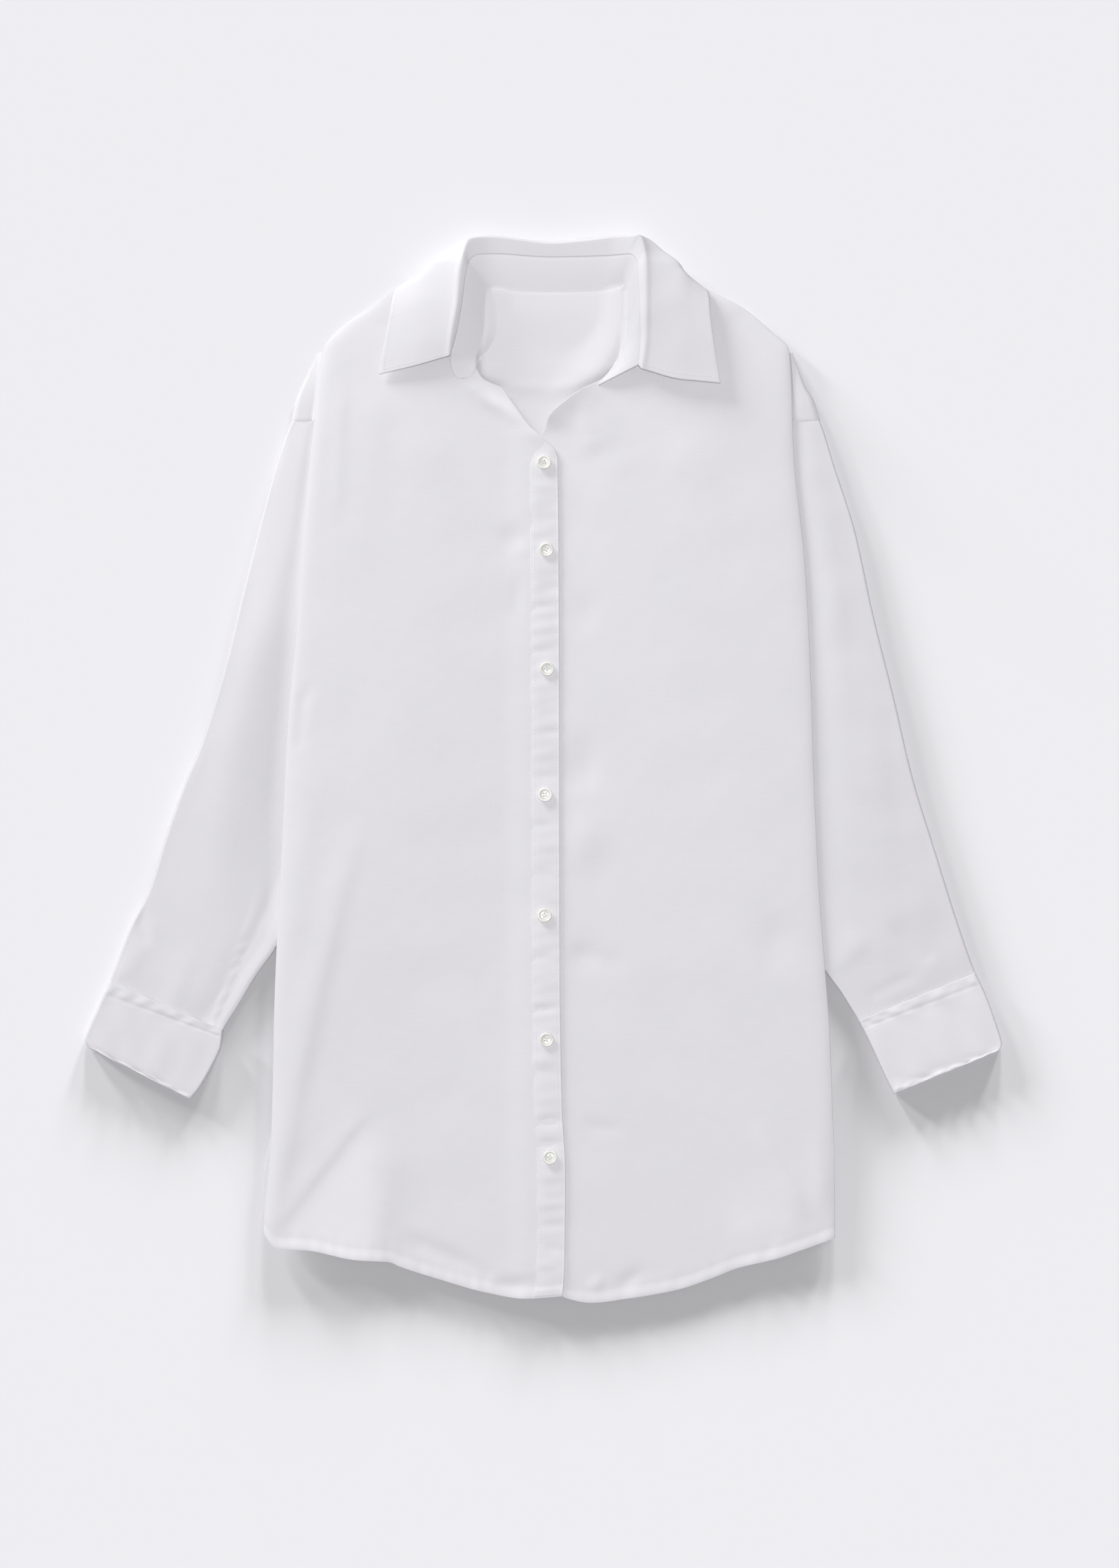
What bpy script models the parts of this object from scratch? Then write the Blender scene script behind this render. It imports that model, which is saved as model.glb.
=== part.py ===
"""Long-sleeved linen shirt, laid flat and face up, with its collar standing.

The frame is metres, +Z up, +Y towards the collar. The origin is on the floor under the
middle of the shirt. Every cloth piece is a wall that is placed by formula from the sizes
and the short tables below: the lower face of a panel is a height over the floor, and its
wall grows upward from there.
"""
import math

import bmesh
import bpy

# ---------------------------------------------------------------- driving dimensions
CLOTH = 0.0012            # wall of the body and the sleeves
BAND_WALL = 0.0010        # wall of the button band that lies on the top front
COLLAR_WALL = 0.0018      # stand and leaf, two layers of linen sewn together
CUFF_WALL = 0.0016        # cuffs, two layers
SEAM_GAP = 0.0003         # between neighbouring pieces
LOFT = 0.0022             # how far the fronts stand off the back, away from the sides
LOFT_REACH = 0.008        # distance from the side over which they rise
LOFT_AT_NECK = 0.35       # part of the loft that is left beside the neck ...
LOFT_FADE_START = 0.3700  # ... where it fades from this level ...
LOFT_FADE_SPAN = 0.0500   # ... over this distance
NECK_LIFT = 0.0030        # the back rides over the leaf that turns under it ...
NECK_LIFT_START = 0.3800  # ... from this level ...
NECK_LIFT_SPAN = 0.0200   # ... over this distance
NECK_MIDDLE = 0.0100      # x of the middle of the neck
NECK_LIFT_REACH = 0.2050  # the rise ends this far from the middle ...
NECK_LIFT_EASE = 0.0650   # ... and is complete this much nearer to it
SLEEVE_TUCKED = 0.0040    # height of a sleeve where the body lies on it
SLEEVE_LIFT = 0.0050      # the body rides over the sleeves by this much
LIFT_START = 0.0400       # the rise starts this far inside a sleeve's hidden edge ...
LIFT_SPAN = 0.0300        # ... and is complete after this distance
LIFT_FADE_START = 0.3000  # towards the shoulder it fades from this level ...
LIFT_FADE_SPAN = 0.0650   # ... over this distance ...
LIFT_FADED = 0.28         # ... to this part of it
BAND_WIDTH = 0.0246
HEM_LEVEL = -0.4600       # lowest row of the body before the hem's curve is added
HEM_FADE = -0.2500        # above this row the hem's curve no longer shows
SEAM_LEVEL = 0.3020       # armhole seam on the dropped shoulder
TIP_LEVEL = 0.3610        # the dropped shoulder starts just under the shoulder tip
NECK_LEVEL = 0.4325       # highest row of the fronts, beside the neck
BACK_INSET = 0.0006       # the back stays inside the fold of the fronts
BACK_FADE = 0.2600        # above this row the back's rows bend to its top edge
BUTTON_RADIUS = 0.0063
BUTTON_HEIGHT = 0.0030
BUTTON_TURNS = 14         # faces round a button
UNDER_EDGE = -0.0066      # free edge of the under front, below the top front
OVERLAP_START = -0.0190   # the top front rises from here ...
OVERLAP_FULL = -0.0100    # ... to here, where it is clear of the under front
OVERLAP_END = 0.3000      # no overlap above this level ...
OVERLAP_EASE = 0.0120     # ... and all of it this much lower
DROP_EDGE_HEIGHT = 0.0004  # the dropped shoulder at its outer edge ...
DROP_FOOT_HEIGHT = 0.0012  # ... and at the foot of the fold
EDGE_ROUNDNESS = 0.9      # a ring is round over this part of its height at both edges
STAND_BOW = 0.0012        # the stand is curved upwards by this much
LEAF_ROW_POWER = 1.15     # the leaf's rows are closer together at the stand
TURNED_LEVEL = 0.0020     # a leaf edge lower than this is turned under the neck ...
TURNED_EASE = 0.0090      # ... and one this much higher lies in front

# ---------------------------------------------------------------- outlines, bottom to top
# row: level y, edge x. Side seam, then the fold at the armhole, then the shoulder.
LEFT_SIDE = (
    (-0.4660, -0.2435),
    (-0.3997, -0.2424),
    (-0.3277, -0.2364),
    (-0.2017, -0.2334),
    (-0.1579, -0.2316),
    (-0.0763, -0.2274),
    (0.0491, -0.2208),
    (0.1121, -0.2148),
    (0.2057, -0.2082),
    (0.2999, -0.1989),
    (0.3659, -0.1896),
    (0.3851, -0.1728),
    (0.4007, -0.1494),
    (0.4175, -0.1266),
    (0.4270, -0.1008),
    (0.4345, -0.0700),
)
RIGHT_SIDE = (
    (-0.4660, 0.2538),
    (-0.3739, 0.2538),
    (-0.3277, 0.2526),
    (-0.2335, 0.2496),
    (-0.1765, 0.2454),
    (-0.1075, 0.2403),
    (-0.0139, 0.2358),
    (0.0803, 0.2328),
    (0.1745, 0.2280),
    (0.2687, 0.2184),
    (0.3629, 0.2140),
    (0.3785, 0.1992),
    (0.3989, 0.1752),
    (0.4157, 0.1428),
    (0.4270, 0.1182),
    (0.4345, 0.0972),
)
LEFT_TIP = 0.3659         # levels of the shoulder tips
RIGHT_TIP = 0.3629
# row: level y, edge x of the dropped shoulder, which shows beyond the fold
LEFT_DROP = (
    (0.3020, -0.2184),
    (0.3191, -0.2148),
    (0.3407, -0.2052),
    (0.3659, -0.1925),
)
RIGHT_DROP = (
    (0.3020, 0.2412),
    (0.3197, 0.2352),
    (0.3317, 0.2280),
    (0.3629, 0.2166),
)
# row: level y, edge x of the top front: placket edge, then the open neckline
TOP_FRONT_EDGE = (
    (-0.4660, 0.0168),
    (-0.4310, 0.0192),
    (-0.3523, 0.0198),
    (-0.2917, 0.0168),
    (-0.1717, 0.0150),
    (0.1220, 0.0144),
    (0.2675, 0.0132),
    (0.2770, 0.0104),
    (0.2867, 0.0002),
    (0.2987, -0.0128),
    (0.3095, -0.0206),
    (0.3197, -0.0280),
    (0.3320, -0.0372),
    (0.3365, -0.0500),
    (0.3500, -0.0580),
    (0.3800, -0.0545),
    (0.4345, -0.0550),
)
# row: level y, edge x of the under front: its hidden edge, then the open neckline
UNDER_FRONT_EDGE = (
    (-0.4660, UNDER_EDGE),
    (0.2740, UNDER_EDGE),
    (0.2840, -0.0060),
    (0.2950, 0.0016),
    (0.3065, 0.0054),
    (0.3197, 0.0192),
    (0.3317, 0.0372),
    (0.3380, 0.0510),
    (0.3500, 0.0590),
    (0.3800, 0.0690),
    (0.4345, 0.0760),
)
# row: place x, hem level y
LEFT_HEM = (
    (-0.2435, -0.4057),
    (-0.2322, -0.4183),
    (-0.2052, -0.4201),
    (-0.1632, -0.4285),
    (-0.1338, -0.4303),
    (-0.1254, -0.4339),
    (-0.0900, -0.4453),
    (-0.0498, -0.4567),
    (-0.0162, -0.4621),
    (0.0200, -0.4597),
)
RIGHT_HEM = (
    (-0.0100, -0.4560),
    (0.0150, -0.4590),
    (0.0198, -0.4615),
    (0.0414, -0.4657),
    (0.0732, -0.4621),
    (0.1170, -0.4543),
    (0.1458, -0.4447),
    (0.1686, -0.4357),
    (0.2034, -0.4273),
    (0.2226, -0.4207),
    (0.2540, -0.4095),
)
BACK_HEM = (
    (-0.2435, -0.4000),
    (-0.2000, -0.4140),
    (-0.1200, -0.4290),
    (0.0000, -0.4540),
    (0.1200, -0.4490),
    (0.2000, -0.4230),
    (0.2540, -0.4040),
)
# row: place x, top level y of the back: shoulders either side of the back neck
BACK_TOP = (
    (-0.1896, 0.3659),
    (-0.1728, 0.3851),
    (-0.1494, 0.4007),
    (-0.1266, 0.4175),
    (-0.1008, 0.4270),
    (-0.0640, 0.4330),
    (-0.0540, 0.4250),
    (-0.0420, 0.4160),
    (0.0100, 0.4140),
    (0.0600, 0.4160),
    (0.0740, 0.4250),
    (0.0840, 0.4340),
    (0.1182, 0.4270),
    (0.1428, 0.4157),
    (0.1752, 0.3989),
    (0.1992, 0.3785),
    (0.2140, 0.3629),
)
# row: start x, start y, end x, end y, height, half width of the largest soft folds
FRONT_FOLDS = (
    (-0.2370, -0.3950, -0.2088, -0.2917, 0.0028, 0.010),
    (-0.2300, -0.3950, -0.1740, -0.0950, 0.0030, 0.015),
    (-0.2050, -0.3960, -0.1480, -0.1650, 0.0022, 0.018),
    (-0.1950, -0.3900, -0.1450, -0.3900, 0.0024, 0.028),
    (-0.1880, 0.3450, -0.2010, 0.1990, 0.0030, 0.008),
    (-0.1500, 0.3300, -0.1600, 0.2000, 0.0012, 0.016),
    (0.1200, -0.4000, 0.2340, -0.3800, 0.0022, 0.018),
    (0.2088, -0.3337, 0.2340, -0.3841, 0.0024, 0.012),
    (0.0300, -0.0600, 0.0380, -0.0400, 0.0014, 0.020),
    (0.0900, 0.2500, 0.1600, 0.3300, 0.0016, 0.030),
    (0.0350, 0.2900, 0.0520, 0.2500, 0.0020, 0.010),
)

# row: outer x, y, inner x, y, part of the width that shows beside the body, crown height
LEFT_SLEEVE = (
    (-0.2184, 0.3012, -0.1368, 0.2843, 0.23, 0.0052),
    (-0.2304, 0.2687, -0.1368, 0.2333, 0.27, 0.0058),
    (-0.2460, 0.2123, -0.1416, 0.1703, 0.31, 0.0062),
    (-0.2604, 0.1559, -0.1500, 0.1103, 0.36, 0.0062),
    (-0.2772, 0.0869, -0.1608, 0.0443, 0.43, 0.0062),
    (-0.2964, 0.0239, -0.1764, -0.0127, 0.53, 0.0062),
    (-0.3120, -0.0139, -0.1920, -0.0547, 0.63, 0.0062),
    (-0.3276, -0.0577, -0.2100, -0.0997, 0.77, 0.0062),
    (-0.3432, -0.1075, -0.2316, -0.1549, 1.00, 0.0062),
    (-0.3588, -0.1381, -0.2496, -0.1807, 1.00, 0.0062),
    (-0.3678, -0.1615, -0.2658, -0.2077, 1.00, 0.0060),
    (-0.3771, -0.1853, -0.2784, -0.2281, 1.00, 0.0058),
)
RIGHT_SLEEVE = (
    (0.2412, 0.3012, 0.1632, 0.2843, 0.23, 0.0052),
    (0.2544, 0.2603, 0.1584, 0.2273, 0.31, 0.0058),
    (0.2718, 0.2057, 0.1632, 0.1643, 0.36, 0.0062),
    (0.2868, 0.1367, 0.1716, 0.0983, 0.42, 0.0062),
    (0.3060, 0.0593, 0.1890, 0.0203, 0.52, 0.0062),
    (0.3216, -0.0073, 0.2040, -0.0457, 0.63, 0.0062),
    (0.3408, -0.0703, 0.2232, -0.1117, 0.77, 0.0062),
    (0.3594, -0.1297, 0.2412, -0.1687, 0.92, 0.0062),
    (0.3684, -0.1567, 0.2604, -0.1969, 1.00, 0.0060),
    (0.3762, -0.1778, 0.2744, -0.2198, 1.00, 0.0058),
)
# row: outer x, y, inner x, y, height
LEFT_CUFF = (
    (-0.3772, -0.1856, -0.2785, -0.2284, 0.0062),
    (-0.3870, -0.2075, -0.2800, -0.2420, 0.0064),
    (-0.3985, -0.2359, -0.3010, -0.2815, 0.0064),
    (-0.3950, -0.2440, -0.3075, -0.2885, 0.0060),
)
RIGHT_CUFF = (
    (0.3763, -0.1781, 0.2745, -0.2201, 0.0062),
    (0.3858, -0.1981, 0.2820, -0.2347, 0.0064),
    (0.3996, -0.2398, 0.2988, -0.2707, 0.0064),
    (0.3978, -0.2461, 0.3054, -0.2839, 0.0060),
)

# row: place along the band, then x, y, z at the neck seam and at the seam with the leaf
STAND = (
    (0.00, -0.0650, 0.3405, 0.0066, -0.0765, 0.3412, 0.0082),
    (0.04, -0.0602, 0.3480, 0.0066, -0.0802, 0.3530, 0.0112),
    (0.08, -0.0582, 0.3580, 0.0066, -0.0790, 0.3640, 0.0150),
    (0.12, -0.0562, 0.3680, 0.0066, -0.0745, 0.3795, 0.0180),
    (0.18, -0.0555, 0.3800, 0.0072, -0.0700, 0.4035, 0.0202),
    (0.27, -0.0555, 0.4080, 0.0092, -0.0672, 0.4245, 0.0190),
    (0.33, -0.0530, 0.4190, 0.0092, -0.0640, 0.4365, 0.0161),
    (0.38, -0.0440, 0.4150, 0.0060, -0.0525, 0.4448, 0.0128),
    (0.45, -0.0150, 0.4122, 0.0056, -0.0170, 0.4440, 0.0106),
    (0.52, 0.0160, 0.4118, 0.0056, 0.0162, 0.4424, 0.0103),
    (0.59, 0.0480, 0.4132, 0.0056, 0.0500, 0.4434, 0.0114),
    (0.65, 0.0690, 0.4180, 0.0090, 0.0735, 0.4440, 0.0146),
    (0.70, 0.0765, 0.4120, 0.0094, 0.0812, 0.4340, 0.0179),
    (0.78, 0.0740, 0.3900, 0.0080, 0.0822, 0.4120, 0.0200),
    (0.88, 0.0665, 0.3640, 0.0070, 0.0832, 0.3820, 0.0188),
    (1.00, 0.0480, 0.3325, 0.0066, 0.0822, 0.3455, 0.0156),
)
# row: place along the leaf, then x, y, z at the stand, the roll, the belly and the edge
LEAF = (
    (0.00, -0.0800, 0.3608, 0.0167, -0.0818, 0.3580, 0.0190,
     -0.1104, 0.3497, 0.0164, -0.1424, 0.3419, 0.0134),
    (0.08, -0.0748, 0.3805, 0.0195, -0.0794, 0.3790, 0.0225,
     -0.1080, 0.3743, 0.0184, -0.1388, 0.3653, 0.0139),
    (0.17, -0.0704, 0.4047, 0.0217, -0.0752, 0.4040, 0.0246,
     -0.1040, 0.4020, 0.0193, -0.1340, 0.3910, 0.0139),
    (0.24, -0.0678, 0.4258, 0.0207, -0.0738, 0.4265, 0.0236,
     -0.1000, 0.4270, 0.0170, -0.1290, 0.4145, 0.0105),
    (0.28, -0.0660, 0.4345, 0.0192, -0.0716, 0.4395, 0.0220,
     -0.0985, 0.4375, 0.0140, -0.1165, 0.4260, 0.0022),
    (0.32, -0.0648, 0.4400, 0.0172, -0.0690, 0.4500, 0.0192,
     -0.0865, 0.4465, 0.0100, -0.0960, 0.4180, 0.0011),
    (0.37, -0.0560, 0.4462, 0.0143, -0.0640, 0.4600, 0.0176,
     -0.0690, 0.4570, 0.0080, -0.0730, 0.4110, 0.0010),
    (0.43, -0.0400, 0.4468, 0.0124, -0.0440, 0.4618, 0.0152,
     -0.0450, 0.4625, 0.0060, -0.0460, 0.4080, 0.0010),
    (0.50, 0.0080, 0.4440, 0.0114, 0.0080, 0.4565, 0.0140,
     0.0080, 0.4575, 0.0052, 0.0080, 0.4065, 0.0010),
    (0.57, 0.0560, 0.4452, 0.0126, 0.0590, 0.4612, 0.0155,
     0.0600, 0.4622, 0.0060, 0.0600, 0.4080, 0.0010),
    (0.63, 0.0752, 0.4465, 0.0160, 0.0835, 0.4628, 0.0200,
     0.0885, 0.4600, 0.0085, 0.0880, 0.4120, 0.0010),
    (0.68, 0.0822, 0.4385, 0.0192, 0.0886, 0.4510, 0.0212,
     0.1050, 0.4490, 0.0105, 0.1120, 0.4180, 0.0011),
    (0.72, 0.0830, 0.4300, 0.0209, 0.0896, 0.4380, 0.0231,
     0.1180, 0.4375, 0.0150, 0.1335, 0.4232, 0.0022),
    (0.76, 0.0832, 0.4200, 0.0215, 0.0898, 0.4240, 0.0241,
     0.1190, 0.4290, 0.0175, 0.1442, 0.4140, 0.0108),
    (0.83, 0.0840, 0.3980, 0.0214, 0.0900, 0.4000, 0.0244,
     0.1185, 0.4030, 0.0199, 0.1458, 0.3930, 0.0152),
    (0.91, 0.0848, 0.3760, 0.0196, 0.0900, 0.3773, 0.0227,
     0.1200, 0.3731, 0.0194, 0.1488, 0.3700, 0.0159),
    (1.00, 0.0832, 0.3500, 0.0169, 0.0862, 0.3465, 0.0192,
     0.1182, 0.3377, 0.0174, 0.1546, 0.3341, 0.0154),
)
# row: place x, y of each button, collar end first
BUTTONS = (
    (0.0008, 0.2655),
    (0.0028, 0.1899),
    (0.0035, 0.0862),
    (0.0018, -0.0235),
    (0.0013, -0.1285),
    (0.0030, -0.2365),
    (0.0062, -0.3391),
)
# row: part of the radius, part of the height, from the middle of the dish round the rim
BUTTON_PROFILE = (
    (0.00, 0.70),
    (0.62, 0.70),
    (0.74, 0.97),
    (0.88, 1.00),
    (0.99, 0.73),
    (1.00, 0.45),
    (0.80, 0.00),
    (0.00, 0.00),
)

# row: first level, last level, number of rows between them
BODY_STRETCHES = (
    (HEM_LEVEL, -0.4500, 1),
    (-0.4500, HEM_FADE, 6),
    (HEM_FADE, -0.1000, 7),
    (-0.1000, BACK_FADE, 9),
    (BACK_FADE, SEAM_LEVEL, 5),
    (SEAM_LEVEL, TIP_LEVEL, 5),
    (TIP_LEVEL, 0.3680, 1),
    (0.3680, NECK_LEVEL, 5),
)
BAND_CORNER = 0.2675      # the top front's neckline starts here
BAND_STRETCHES = (
    (-0.4585, -0.4500, 1),
    (-0.4500, HEM_FADE, 6),
    (HEM_FADE, -0.1000, 7),
    (-0.1000, BACK_FADE, 9),
    (BACK_FADE, BAND_CORNER, 1),
    (BAND_CORNER, 0.2900, 3),
)
# columns close to the side
SIDE_STEPS = (0.0, 0.0020, 0.0060, 0.0130, 0.0240, 0.0420, 0.0620, 0.0840, 0.1080)
INNER_STEPS = (0.0240, 0.0120, 0.0)   # columns close to the inner edge
SQUEEZE_BELOW = 0.1700    # a narrower stretch has all its columns closer together
DROP_COLUMNS = 3          # columns on the dropped shoulder, the fold's foot included
FOLD_FOOT = 0.0010        # how far the foot of the armhole fold lies outside its top

# ---------------------------------------------------------------- colours of the photo
LINEN = (0.86, 0.86, 0.87, 1.0)
IVORY = (0.80, 0.77, 0.70, 1.0)


def ramp(t):
    """Smooth step from 0 to 1."""
    t = min(max(t, 0.0), 1.0)
    return t * t * (3.0 - 2.0 * t)


def mix(a, b, t):
    return a + (b - a) * t


def along(rows, t):
    """Smooth values of a table at key t, without overshoot between its rows."""
    t = min(max(t, rows[0][0]), rows[-1][0])
    k = 0
    while k < len(rows) - 2 and t > rows[k + 1][0]:
        k += 1
    span = rows[k + 1][0] - rows[k][0]
    s = (t - rows[k][0]) / span
    values = []
    for column in range(1, len(rows[0])):
        slope_a = slope_at(rows, k, column) * span
        slope_b = slope_at(rows, k + 1, column) * span
        a = rows[k][column]
        b = rows[k + 1][column]
        values.append(
            (2 * s**3 - 3 * s**2 + 1) * a + (s**3 - 2 * s**2 + s) * slope_a
            + (3 * s**2 - 2 * s**3) * b + (s**3 - s**2) * slope_b
        )
    return values


def slope_at(rows, k, column):
    """Slope at row k: the harmonic mean of its two sides, or 0 at a turn."""
    if k == 0 or k == len(rows) - 1:
        j = min(max(k, 1), len(rows) - 1)
        return (rows[j][column] - rows[j - 1][column]) / (rows[j][0] - rows[j - 1][0])
    before = (rows[k][column] - rows[k - 1][column]) / (rows[k][0] - rows[k - 1][0])
    after = (rows[k + 1][column] - rows[k][column]) / (rows[k + 1][0] - rows[k][0])
    if before * after <= 0.0:
        return 0.0
    return 2.0 * before * after / (before + after)


def at(rows, t):
    return along(rows, t)[0]


# ---------------------------------------------------------------- heights over the floor
def tucked_edge(sleeve, y):
    """x of a sleeve's inner edge at level y, where the body lies on it."""
    rows = sorted((row[3], row[2]) for row in sleeve)
    step = (rows[1][1] - rows[0][1]) / (rows[1][0] - rows[0][0])
    if y < rows[0][0]:
        return rows[0][1] + step * (y - rows[0][0])
    return at(rows, y)


def sleeve_lift(x, y):
    """The body rides over both sleeves and comes down to the floor between them."""
    over_left = ramp((tucked_edge(LEFT_SLEEVE, y) - x + LIFT_START) / LIFT_SPAN)
    over_right = ramp((x - tucked_edge(RIGHT_SLEEVE, y) + LIFT_START) / LIFT_SPAN)
    fade = mix(1.0, LIFT_FADED, ramp((y - LIFT_FADE_START) / LIFT_FADE_SPAN))
    return SLEEVE_LIFT * max(over_left, over_right) * fade


def neck_lift(x, y):
    """The back rides over the turned-under leaf around the neck."""
    above = ramp((y - NECK_LIFT_START) / NECK_LIFT_SPAN)
    beside = ramp((NECK_LIFT_REACH - abs(x - NECK_MIDDLE)) / NECK_LIFT_EASE)
    return NECK_LIFT * above * beside


def back_height(x, y):
    return max(sleeve_lift(x, y), neck_lift(x, y))


def fold_height(x, y, folds):
    """Soft ridges along straight lines, each highest at its middle."""
    total = 0.0
    for x0, y0, x1, y1, height, width in folds:
        dx = x1 - x0
        dy = y1 - y0
        t = ((x - x0) * dx + (y - y0) * dy) / (dx * dx + dy * dy)
        beyond = max(-t, t - 1.0, 0.0) * math.hypot(dx, dy)
        t = min(max(t, 0.0), 1.0)
        away = math.hypot(x - x0 - t * dx, y - y0 - t * dy)
        total += height * math.exp(-(away / width) ** 2 - (beyond / width) ** 2)
    return total


def front_height(x, y):
    """Lower face of either front: on the back, lofted, with the large folds."""
    inside = min(x - at(LEFT_SIDE, y), at(RIGHT_SIDE, y) - x)
    rise = 1.0 - math.exp(-max(inside, 0.0) / LOFT_REACH)
    loft = LOFT * mix(1.0, LOFT_AT_NECK, ramp((y - LOFT_FADE_START) / LOFT_FADE_SPAN))
    lofted = (loft + fold_height(x, y, FRONT_FOLDS)) * rise
    return back_height(x, y) + CLOTH + SEAM_GAP + lofted


def top_front_height(x, y):
    """The top front also clears the under front where the two overlap."""
    overlap = ramp((x - OVERLAP_START) / (OVERLAP_FULL - OVERLAP_START))
    overlap *= ramp((OVERLAP_END - y) / OVERLAP_EASE)
    return front_height(x, y) + (CLOTH + 2.0 * SEAM_GAP) * overlap


# ---------------------------------------------------------------- mesh helpers
def finish_object(obj, name, material, thickness, offset):
    """Name the object, give it its wall, its material and smooth shading."""
    obj.name = name
    obj.data.name = name
    obj.data.materials.append(material)
    wall = obj.modifiers.new("wall", "SOLIDIFY")
    wall.thickness = thickness
    wall.offset = offset
    obj.data.shade_smooth()
    for home in obj.users_collection:
        home.objects.unlink(obj)
    SHIRT.objects.link(obj)
    return obj


def sheet(name, columns, rows, place, material, thickness, offset=1.0, keep=None):
    """A grid whose vertices are placed by formula, with a wall by Solidify."""
    bpy.ops.mesh.primitive_grid_add(x_subdivisions=columns, y_subdivisions=rows, size=1.0)
    obj = bpy.context.object
    mesh = bmesh.new()
    mesh.from_mesh(obj.data)
    unused = []
    for face in mesh.faces:
        middle = face.calc_center_median()
        column = int((middle.x + 0.5) * columns)
        row = int((middle.y + 0.5) * rows)
        if keep is not None and not keep(column, row):
            unused.append(face)
    for vertex in mesh.verts:
        column = round((vertex.co.x + 0.5) * columns)
        row = round((vertex.co.y + 0.5) * rows)
        vertex.co = place(column, row)
    bmesh.ops.delete(mesh, geom=unused, context="FACES")
    mesh.to_mesh(obj.data)
    mesh.free()
    return finish_object(obj, name, material, thickness, offset)


def tube(name, around, rings, place, material, thickness):
    """A grid that is closed round into a tube with open ends, its wall grown inward."""
    bpy.ops.mesh.primitive_grid_add(x_subdivisions=around, y_subdivisions=rings, size=1.0)
    obj = bpy.context.object
    mesh = bmesh.new()
    mesh.from_mesh(obj.data)
    for vertex in mesh.verts:
        column = round((vertex.co.x + 0.5) * around) % around
        row = round((vertex.co.y + 0.5) * rings)
        vertex.co = place(column, row)
    bmesh.ops.remove_doubles(mesh, verts=mesh.verts, dist=0.00001)
    bmesh.ops.recalc_face_normals(mesh, faces=mesh.faces)
    mesh.to_mesh(obj.data)
    mesh.free()
    return finish_object(obj, name, material, thickness, -1.0)


def levels(stretches):
    """All row levels of the stretches, lowest first."""
    found = [stretches[0][0]]
    for first, last, count in stretches:
        found.extend(mix(first, last, (k + 1) / count) for k in range(count))
    return found


def hem_shifted(level, x, hem):
    """Rows near the hem bend until the lowest one follows the hem's curve."""
    share = ramp((HEM_FADE - level) / (HEM_FADE - HEM_LEVEL))
    return level + (at(hem, x) - HEM_LEVEL) * share


def spaced(column, width, across, inner_steps):
    """Distance of a column from the side: close together at both ends of the width."""
    squeeze = min(1.0, width / SQUEEZE_BELOW)
    near = SIDE_STEPS[-1] * squeeze
    far = width - inner_steps[0] * squeeze
    if column < len(SIDE_STEPS):
        return SIDE_STEPS[column] * squeeze
    column -= len(SIDE_STEPS) - 1
    if column <= across:
        return mix(near, far, column / across)
    return width - inner_steps[column - across] * squeeze


# ---------------------------------------------------------------- body
def front(name, side, drop, inner_edge, hem, height, across, material):
    """One front: columns run from its side to its inner edge, rows from hem to shoulder.

    Between the armhole seam and the shoulder tip a few more columns lie beyond the fold:
    the dropped shoulder, lower than the fold's top, with a steep wall between the two.
    """
    row_levels = levels(BODY_STRETCHES)
    seam_row = row_levels.index(SEAM_LEVEL)
    tip_row = row_levels.index(TIP_LEVEL)
    first = DROP_COLUMNS
    columns = first + len(SIDE_STEPS) + len(INNER_STEPS) - 2 + across
    inward = 1.0 if side[0][1] < 0.0 else -1.0

    def place(column, row):
        column = column if inward > 0.0 else columns - column
        level = row_levels[row]
        fold_x = at(side, level)
        if column < first:
            foot_x = fold_x - inward * FOLD_FOOT
            share = column / (first - 1)
            x = mix(at(drop, level), foot_x, share)
            return (x, level, mix(DROP_EDGE_HEIGHT, DROP_FOOT_HEIGHT, share))
        width = abs(at(inner_edge, level) - fold_x)
        x = fold_x + inward * spaced(column - first, width, across, INNER_STEPS)
        y = hem_shifted(level, x, hem)
        return (x, y, height(x, y))

    def keep(column, row):
        column = column if inward > 0.0 else columns - 1 - column
        return column >= first or seam_row <= row < tip_row

    return sheet(name, columns, len(row_levels) - 1, place, material, CLOTH, keep=keep)


def back(material):
    """The back: one flat panel under both fronts, with rows and columns like theirs."""
    row_levels = levels(BODY_STRETCHES)
    across = 6
    columns = 2 * len(SIDE_STEPS) - 2 + across
    mirrored = tuple(reversed(SIDE_STEPS))

    def place(column, row):
        level = row_levels[row]
        low = at(LEFT_SIDE, min(level, LEFT_TIP)) + BACK_INSET
        high = at(RIGHT_SIDE, min(level, RIGHT_TIP)) - BACK_INSET
        x = low + spaced(column, high - low, across, mirrored)
        y = hem_shifted(level, x, BACK_HEM)
        y += (at(BACK_TOP, x) - NECK_LEVEL) * ramp((level - BACK_FADE) / (NECK_LEVEL - BACK_FADE))
        return (x, y, back_height(x, y))

    return sheet("back", columns, len(row_levels) - 1, place, material, CLOTH)


def button_band(material):
    """The band along the edge of the top front, made from the front's own height."""
    band_levels = levels(BAND_STRETCHES)
    columns = 2

    def place(column, row):
        level = band_levels[row]
        outer = at(TOP_FRONT_EDGE, min(level, BAND_CORNER)) - BAND_WIDTH
        x = mix(outer, at(TOP_FRONT_EDGE, level) - SEAM_GAP, column / columns)
        y = hem_shifted(level, x, LEFT_HEM)
        return (x, y, top_front_height(x, y) + CLOTH + SEAM_GAP)

    return sheet("button_band", columns, len(band_levels) - 1, place, material, BAND_WALL)


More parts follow.
